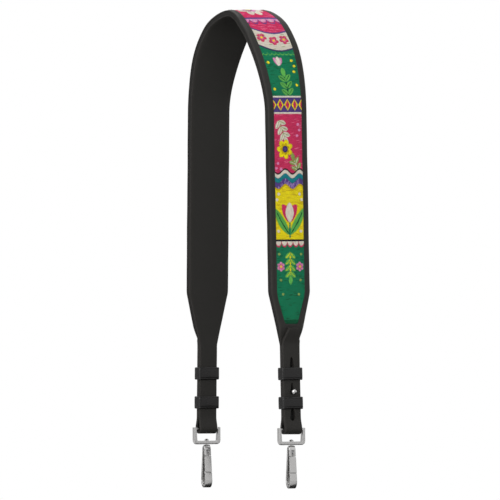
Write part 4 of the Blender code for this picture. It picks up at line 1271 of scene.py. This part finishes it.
def make_border_stitches():
    """The fine tonal row that sews the border to the canvas, round the window."""
    reach, bend = WINDOW_END + STITCH_SET, 2 * STITCH_SET
    stations = np.arange(0, reach, LINE_STEP)
    corner = np.clip(1 - (stations - (reach - bend)) / bend, 0, 1)
    drawn_in = np.where(stations > reach - bend, 1 - np.sqrt(1 - (1 - corner) ** 2), 0)
    half = window_half(stations) + STITCH_SET - bend * drawn_in
    quarter = np.column_stack((stations, half))
    end = np.column_stack((np.full(40, reach), np.linspace(half[-1], 0, 41)[1:]))
    quarter = np.vstack((quarter, end))
    line = np.vstack((quarter, (quarter * (1, -1))[::-1], quarter * (-1, -1), (quarter * (-1, 1))[::-1]))
    steps = np.linalg.norm(np.diff(line, axis=0), axis=1)
    lengths = np.append(0, np.cumsum(steps))
    marks = np.arange(STITCH_PITCH / 2, lengths[-1], STITCH_PITCH)
    places = np.stack([np.interp(marks, lengths, line[:, k]) for k in (0, 1)], axis=1)
    ahead = np.stack([np.interp(marks + MM / 2, lengths, line[:, k]) for k in (0, 1)], axis=1)
    way = ahead - places
    angles = np.arctan2(way[:, 1], way[:, 0]) + math.radians(STITCH_SLANT)
    far = np.abs(places[:, 0])
    top = LEATHER + GLUE + PATH.rise(far) + LEATHER - ease(far, places[:, 1]) - STITCH_SINK
    sizes = np.tile(STITCH_SIZE, (len(marks), 1))
    shades = np.tile(linear(38, 37, 36), (len(marks), 1))
    obj = sew("border_stitches", np.column_stack((places, top)), angles, sizes, shades, "cotton_thread")


# Keepers

KEEPER_WALL = KEEPER_LEATHER + KEEPER_FULLNESS / 3
KEEPER_INNER_ROUND = 0.0003
KEEPER_RIM_ROUND = 0.0011
KEEPER_CREASE = [(0.0, 0.0015), (0.00013, 0.00175), (0.00013, 0.00195), (0.0, 0.0022)]
KEEPER_SEAM = [(0.0002, 0.0), (0.0003, 1.0), (0.0005, 1.0), (0.0006, 0.0)]
KEEPER_SEAM_STEP = 5
KEEPER_SEAM_DEPTH = 0.00018
KEEPER_SWELL = 0.0004
KEEPER_SLACK = 0.0002


def quarter_round(across, level, radius, start, rim):
    """A quarter circle of a keeper's section, from an angle in degrees, and 1 where it is a worn rim."""
    angles = [math.radians(start + 22.5 * step) for step in range(5)]
    return [(across + radius * math.cos(a), level + radius * math.sin(a), rim) for a in angles]


def keeper_section():
    """A keeper's section, down its inner face and up its outer one: depth, height, and 1 at a worn rim."""
    half, inner, outer = KEEPER_HEIGHT / 2, KEEPER_INNER_ROUND, KEEPER_RIM_ROUND
    section = [(0, z, 0.0) for z in (half - inner, 0, -half + inner)]
    section += quarter_round(inner, -half + inner, inner, 180, 0.0)
    section += quarter_round(KEEPER_WALL - outer, -half + outer, outer, 270, 1.0)
    section += [(KEEPER_WALL - depth, -half + z, 0.0) for depth, z in KEEPER_CREASE]
    section += [(KEEPER_WALL, z, 0.0) for z in (-half / 2, 0, half / 2)]
    section += [(KEEPER_WALL - depth, half - z, 0.0) for depth, z in reversed(KEEPER_CREASE)]
    section += quarter_round(KEEPER_WALL - outer, half - outer, outer, 0, 1.0)
    section += quarter_round(inner, half - inner, inner, 90, 0.0)[1:-1]
    return section


def keeper_path(side):
    """Round a keeper: where its bends are centred, the way out, how full it is, and 1 in the butt seam."""
    half_x = STACK / 2 + KEEPER_PLAY + KEEPER_FULLNESS / 3 - KEEPER_ROUND
    half_y = STRAP_WIDTH / 2 + KEEPER_PLAY + KEEPER_FULLNESS - KEEPER_ROUND
    corners = [np.array((a * half_x, b * half_y)) for a, b in ((1, -1), (1, 1), (-1, 1), (-1, -1))]
    path = []
    for index, centre in enumerate(corners):
        start, after = 90 * (index - 1), corners[(index + 1) % 4]
        for step in range(7):
            turn = math.radians(start + 15 * step)
            path.append((*centre, math.cos(turn), math.sin(turn), 0.0, 0.0))
        out = (math.cos(turn), math.sin(turn))
        wide = index in (0, 2)
        seamed = index == (2 if side > 0 else 0)
        count = 16 if wide else 5
        for step in range(1, count):
            share = step / count
            place = centre + (after - centre) * share
            full = 4 * share * (1 - share) * wide
            path.append((*place, *out, full, 0.0))
            if seamed and step == KEEPER_SEAM_STEP:
                way = (after - centre) / np.linalg.norm(after - centre)
                path += [(*(place + way * offset), *out, full, groove) for offset, groove in KEEPER_SEAM]
    return path


def make_keeper(name, side, rise, looseness):
    """A leather loop with rounded, creased rims, slightly full faces and a butt seam by the shoulder."""
    path, section = keeper_path(side), keeper_section()
    half = KEEPER_HEIGHT / 2
    points, wear = [], []
    for x, y, out_x, out_y, full, groove in path:
        for depth, z, rim in section:
            outside = depth > KEEPER_WALL / 2
            swell = full * (1 - (z / half) ** 2) * KEEPER_SWELL - KEEPER_SEAM_DEPTH * groove
            away = KEEPER_ROUND + depth + swell * outside
            slack = KEEPER_SLACK * looseness * full * (z / half)
            points.append((x + out_x * away, y + out_y * away, z + slack))
            near_rim = 1 - min((half - abs(z)) / KEEPER_RIM_ROUND, 1)
            wear.append(max(rim, near_rim) * outside)
    count, around = len(section), len(path)
    faces = []
    for i in range(around):
        here, on = i * count, (i + 1) % around * count
        for j in range(count):
            up = (j + 1) % count
            faces.append((here + j, here + up, on + up, on + j))
    mesh = bpy.data.meshes.new(name + "_loop")
    mesh.from_pydata(points, [], faces)
    add_attribute(mesh, "wear", "FLOAT", wear)
    mesh.materials.append(FINISHES["loop_leather"])
    middle = PATH.bar - PATH.down * rise
    turn = Matrix.Rotation(-side * TILT, 4, "Y")
    mesh.transform(Matrix.Translation((side * middle[0], 0, middle[1])) @ turn)
    obj = add_object(name + "_loop", mesh)
    fix_normals(mesh)
    soften(mesh, 50)
    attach(obj, name)
    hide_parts(name)


def fix_normals(mesh):
    """Turns a closed mesh right side out where its volume comes out negative."""
    points = coordinates(mesh)
    mesh.calc_loop_triangles()
    corners = np.array([t.vertices for t in mesh.loop_triangles])
    a, b, c = points[corners[:, 0]], points[corners[:, 1]], points[corners[:, 2]]
    if np.einsum("ij,ij->i", a, np.cross(b, c)).sum() < 0:
        mesh.flip_normals()


# Castings


def make_casting(node, body, finish, angle, bends_to=None):
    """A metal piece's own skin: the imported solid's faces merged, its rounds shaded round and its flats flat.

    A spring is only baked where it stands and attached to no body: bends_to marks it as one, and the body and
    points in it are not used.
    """
    mesh = frame["nodes"][node].data.copy()
    mesh.name = node + "_casting"
    for name in ("custom_normal", "sharp_face", "sharp_edge"):
        if name in mesh.attributes:
            mesh.attributes.remove(mesh.attributes[name])
    obj = add_object(node + "_casting", mesh)
    weld = obj.modifiers.new("weld", "WELD")
    weld.merge_threshold = 2 * TINY
    settle(obj)
    soften(obj.data, angle)
    even = obj.modifiers.new("even", "WEIGHTED_NORMAL")
    even.keep_sharp = True
    settle(obj)
    obj.data.materials.clear()
    obj.data.materials.append(FINISHES[finish])
    if bends_to:
        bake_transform(obj)
    else:
        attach(obj, body)
    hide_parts(node)


CASTINGS = [
    ("stud", "strap", "nickel_plate", 40),
    ("ring", "{}_ring", "satin_nickel", 32),
    ("swivel_post", "{}_hook", "nickel_plate", 40),
    ("hook_body", "{}_hook", "nickel_plate", 32),
    ("gate", "{}_gate", "nickel_plate", 32),
]


def dress_hardware():
    for label in SIDES:
        for part, body, finish, angle in CASTINGS:
            make_casting(f"{label}_{part}", body.format(label), finish, angle)
        hinge = [joint for joint in frame["joints"] if joint["name"] == f"{label}_gate_opening"][0]
        pin = Vector(hinge["pos_m"])
        winding = (f"{label}_gate", pin, pin - Vector((0, 0, SPRING_REACH)))
        make_casting(f"{label}_gate_spring", f"{label}_hook", "spring_steel", 60, winding)
        for part in ("stud_screw", "gate_pin"):
            mesh = frame["nodes"][f"{label}_{part}"].data
            mesh.materials.clear()
            mesh.materials.append(FINISHES["spring_steel"])


# Stage

FLOOR_LEVEL = -0.560
FLOOR_RADIUS = 2.5
FLOOR_THICKNESS = 0.01
CARD_THICKNESS = 0.01
SEEN_BY = ("Camera", "Glossy", "Transmission")


def make_floor():
    """A pale floor that keeps the strap's shadow and fades to white away from it."""
    finish = Finish("pale_floor", {"Roughness": 0.8, "Specular IOR Level": 0.1})
    grain = finish.noise(9, 3)
    base = finish.mix(grain * 0.3, (0.60, 0.60, 0.60, 1.0), (0.57, 0.57, 0.57, 1.0))
    finish.feed(base_color=base)
    nodes, links = finish.tree.nodes, finish.tree.links
    paths = [finish.node("ShaderNodeLightPath", out=f"Is {kind} Ray") for kind in SEEN_BY]
    place = finish.stretched(finish.place, (0.45, 0.45, 0.0))
    gradient = {"gradient_type": "SPHERICAL"}
    nearness = finish.node("ShaderNodeTexGradient", gradient, {"Vector": place}, out="Fac")
    share = finish.ramp(nearness, [(0.0, 1.0), (0.75, 0.45)])
    glow = nodes.new("ShaderNodeEmission")
    mixed = nodes.new("ShaderNodeMixShader")
    links.new((sum(paths) * share).socket, mixed.inputs[0])
    links.new(finish.shader.outputs[0], mixed.inputs[1])
    links.new(glow.outputs[0], mixed.inputs[2])
    links.new(mixed.outputs[0], nodes["Material Output"].inputs["Surface"])
    floor = prism("floor", disc(0, FLOOR_RADIUS, 96), FLOOR_LEVEL - FLOOR_THICKNESS, FLOOR_LEVEL)
    floor.data.materials.append(finish.material)


def make_world():
    """An even pale light on the strap, seen as white."""
    world = bpy.data.worlds.new("studio")
    bpy.context.scene.world = world
    world.use_nodes = True
    nodes, links = world.node_tree.nodes, world.node_tree.links
    seen = nodes["Background"]
    seen.inputs["Color"].default_value = (1, 1, 1, 1)
    seen.inputs["Strength"].default_value = 1.0
    lit = nodes.new("ShaderNodeBackground")
    lit.inputs["Color"].default_value = (1.0, 0.995, 0.985, 1)
    lit.inputs["Strength"].default_value = 0.40
    path = nodes.new("ShaderNodeLightPath")
    seen_ray = path.outputs[f"Is {SEEN_BY[0]} Ray"]
    for kind in SEEN_BY[1:]:
        either = nodes.new("ShaderNodeMath")
        either.operation = "MAXIMUM"
        links.new(seen_ray, either.inputs[0])
        links.new(path.outputs[f"Is {kind} Ray"], either.inputs[1])
        seen_ray = either.outputs[0]
    mixed = nodes.new("ShaderNodeMixShader")
    links.new(seen_ray, mixed.inputs[0])
    links.new(lit.outputs[0], mixed.inputs[1])
    links.new(seen.outputs[0], mixed.inputs[2])
    links.new(mixed.outputs[0], nodes["World Output"].inputs["Surface"])


def aim(obj, place, at):
    obj.location = place
    obj.rotation_euler = (at - place).to_track_quat("-Z", "Y").to_euler()


def add_light(name, place, at, size, power):
    data = bpy.data.lights.new(name, "AREA")
    data.shape = "DISK"
    data.size = size
    data.energy = power
    lamp = add_object(name, data)
    aim(lamp, place, at)
    return lamp


def add_card(name, place, at, width, height, strength):
    """A grey card out of the picture, seen only in polished surfaces, as flags are in a studio."""
    corners = ((-1, -1), (1, -1), (1, 1), (-1, 1))
    outline = [(x * width / 2, y * height / 2) for x, y in corners]
    card = prism(name, outline, -CARD_THICKNESS / 2, CARD_THICKNESS / 2)
    material = bpy.data.materials.new(name)
    material.use_nodes = True
    glow = material.node_tree.nodes.new("ShaderNodeEmission")
    glow.inputs["Strength"].default_value = strength
    ends = material.node_tree.nodes["Material Output"]
    material.node_tree.links.new(glow.outputs[0], ends.inputs["Surface"])
    card.data.materials.append(material)
    aim(card, place, at)
    card.visible_camera = card.visible_diffuse = card.visible_shadow = card.visible_transmission = False


AZIMUTH = 52.0
ELEVATION = 0.1
ROLL = -0.3
DISTANCE = 20.0
VIEW_WIDTH = 0.525
SENSOR = 36.0
IMAGE_SIZE = 500
CENTRE_COLUMN = 247.8
CREST_ROW = 16.5


def make_camera():
    """Looks along the photograph's line of sight, with the strap's crest at its place in the picture."""
    turn, lift = math.radians(AZIMUTH), math.radians(ELEVATION)
    right = Vector((math.cos(turn), math.sin(turn), 0))
    back = Vector((math.sin(turn) * math.cos(lift), -math.cos(turn) * math.cos(lift), math.sin(lift)))
    up = back.cross(right)
    pixel = VIEW_WIDTH / IMAGE_SIZE
    target = right * (IMAGE_SIZE / 2 - CENTRE_COLUMN) * pixel - up * (IMAGE_SIZE / 2 - CREST_ROW) * pixel
    spin = math.radians(ROLL)
    level, plumb = right, up
    right = level * math.cos(spin) + plumb * math.sin(spin)
    up = plumb * math.cos(spin) - level * math.sin(spin)
    data = bpy.data.cameras.new("view")
    data.sensor_width = SENSOR
    data.lens = SENSOR * DISTANCE / VIEW_WIDTH
    data.clip_end = 100
    camera = add_object("view", data)
    turned = Matrix((right, up, back)).transposed().to_4x4()
    camera.matrix_world = Matrix.Translation(target + back * DISTANCE) @ turned
    bpy.context.scene.camera = camera
    return right, up, back


make_lining()
make_padding()
make_border()
make_ground()
make_threads()
make_border_stitches()
for end, end_side in SIDES.items():
    make_keeper(f"{end}_upper_keeper", end_side, UPPER_KEEPER_RISE, 0.4)
    make_keeper(f"{end}_lower_keeper", end_side, LOWER_KEEPER_RISE, -1.0)
dress_hardware()
make_floor()
make_world()
RIGHT, UP, BACK = make_camera()
MIDDLE = Vector((0, 0, -0.22))


def from_middle(right, back, up):
    return MIDDLE + BACK * back + RIGHT * right + UP * up


add_light("key", from_middle(-0.8, 1.5, 0.8), MIDDLE, 1.7, 21)
fill = add_light("fill", from_middle(0.7, 1.6, 0.3), MIDDLE, 1.2, 10)
fill.visible_glossy = False
add_light("top", from_middle(0, -0.4, 1.6), MIDDLE, 1.0, 9)
add_card("left_card", from_middle(-1.8, -0.2, 0), MIDDLE, 1.6, 3.0, 0.50)
add_card("behind_card", from_middle(-0.75, -1.75, -0.285), from_middle(0, 0, -0.285), 1.3, 0.13, 0.04)
add_card("right_card", from_middle(1.8, 0.45, 0), MIDDLE, 1.8, 3.0, 0.72)
add_card("front_card", from_middle(0.7, 2.2, 0), MIDDLE, 2.2, 3.0, 0.82)
add_card("strip_card", from_middle(-1.2, 1.34, 0), MIDDLE, 0.22, 1.5, 2.5)
add_card("low_card", Vector((0, 0.653, -0.55)), Vector((0, 0.653, 0)), 1.3, 1.3, 0.03)
bpy.context.scene.view_settings.view_transform = "Standard"
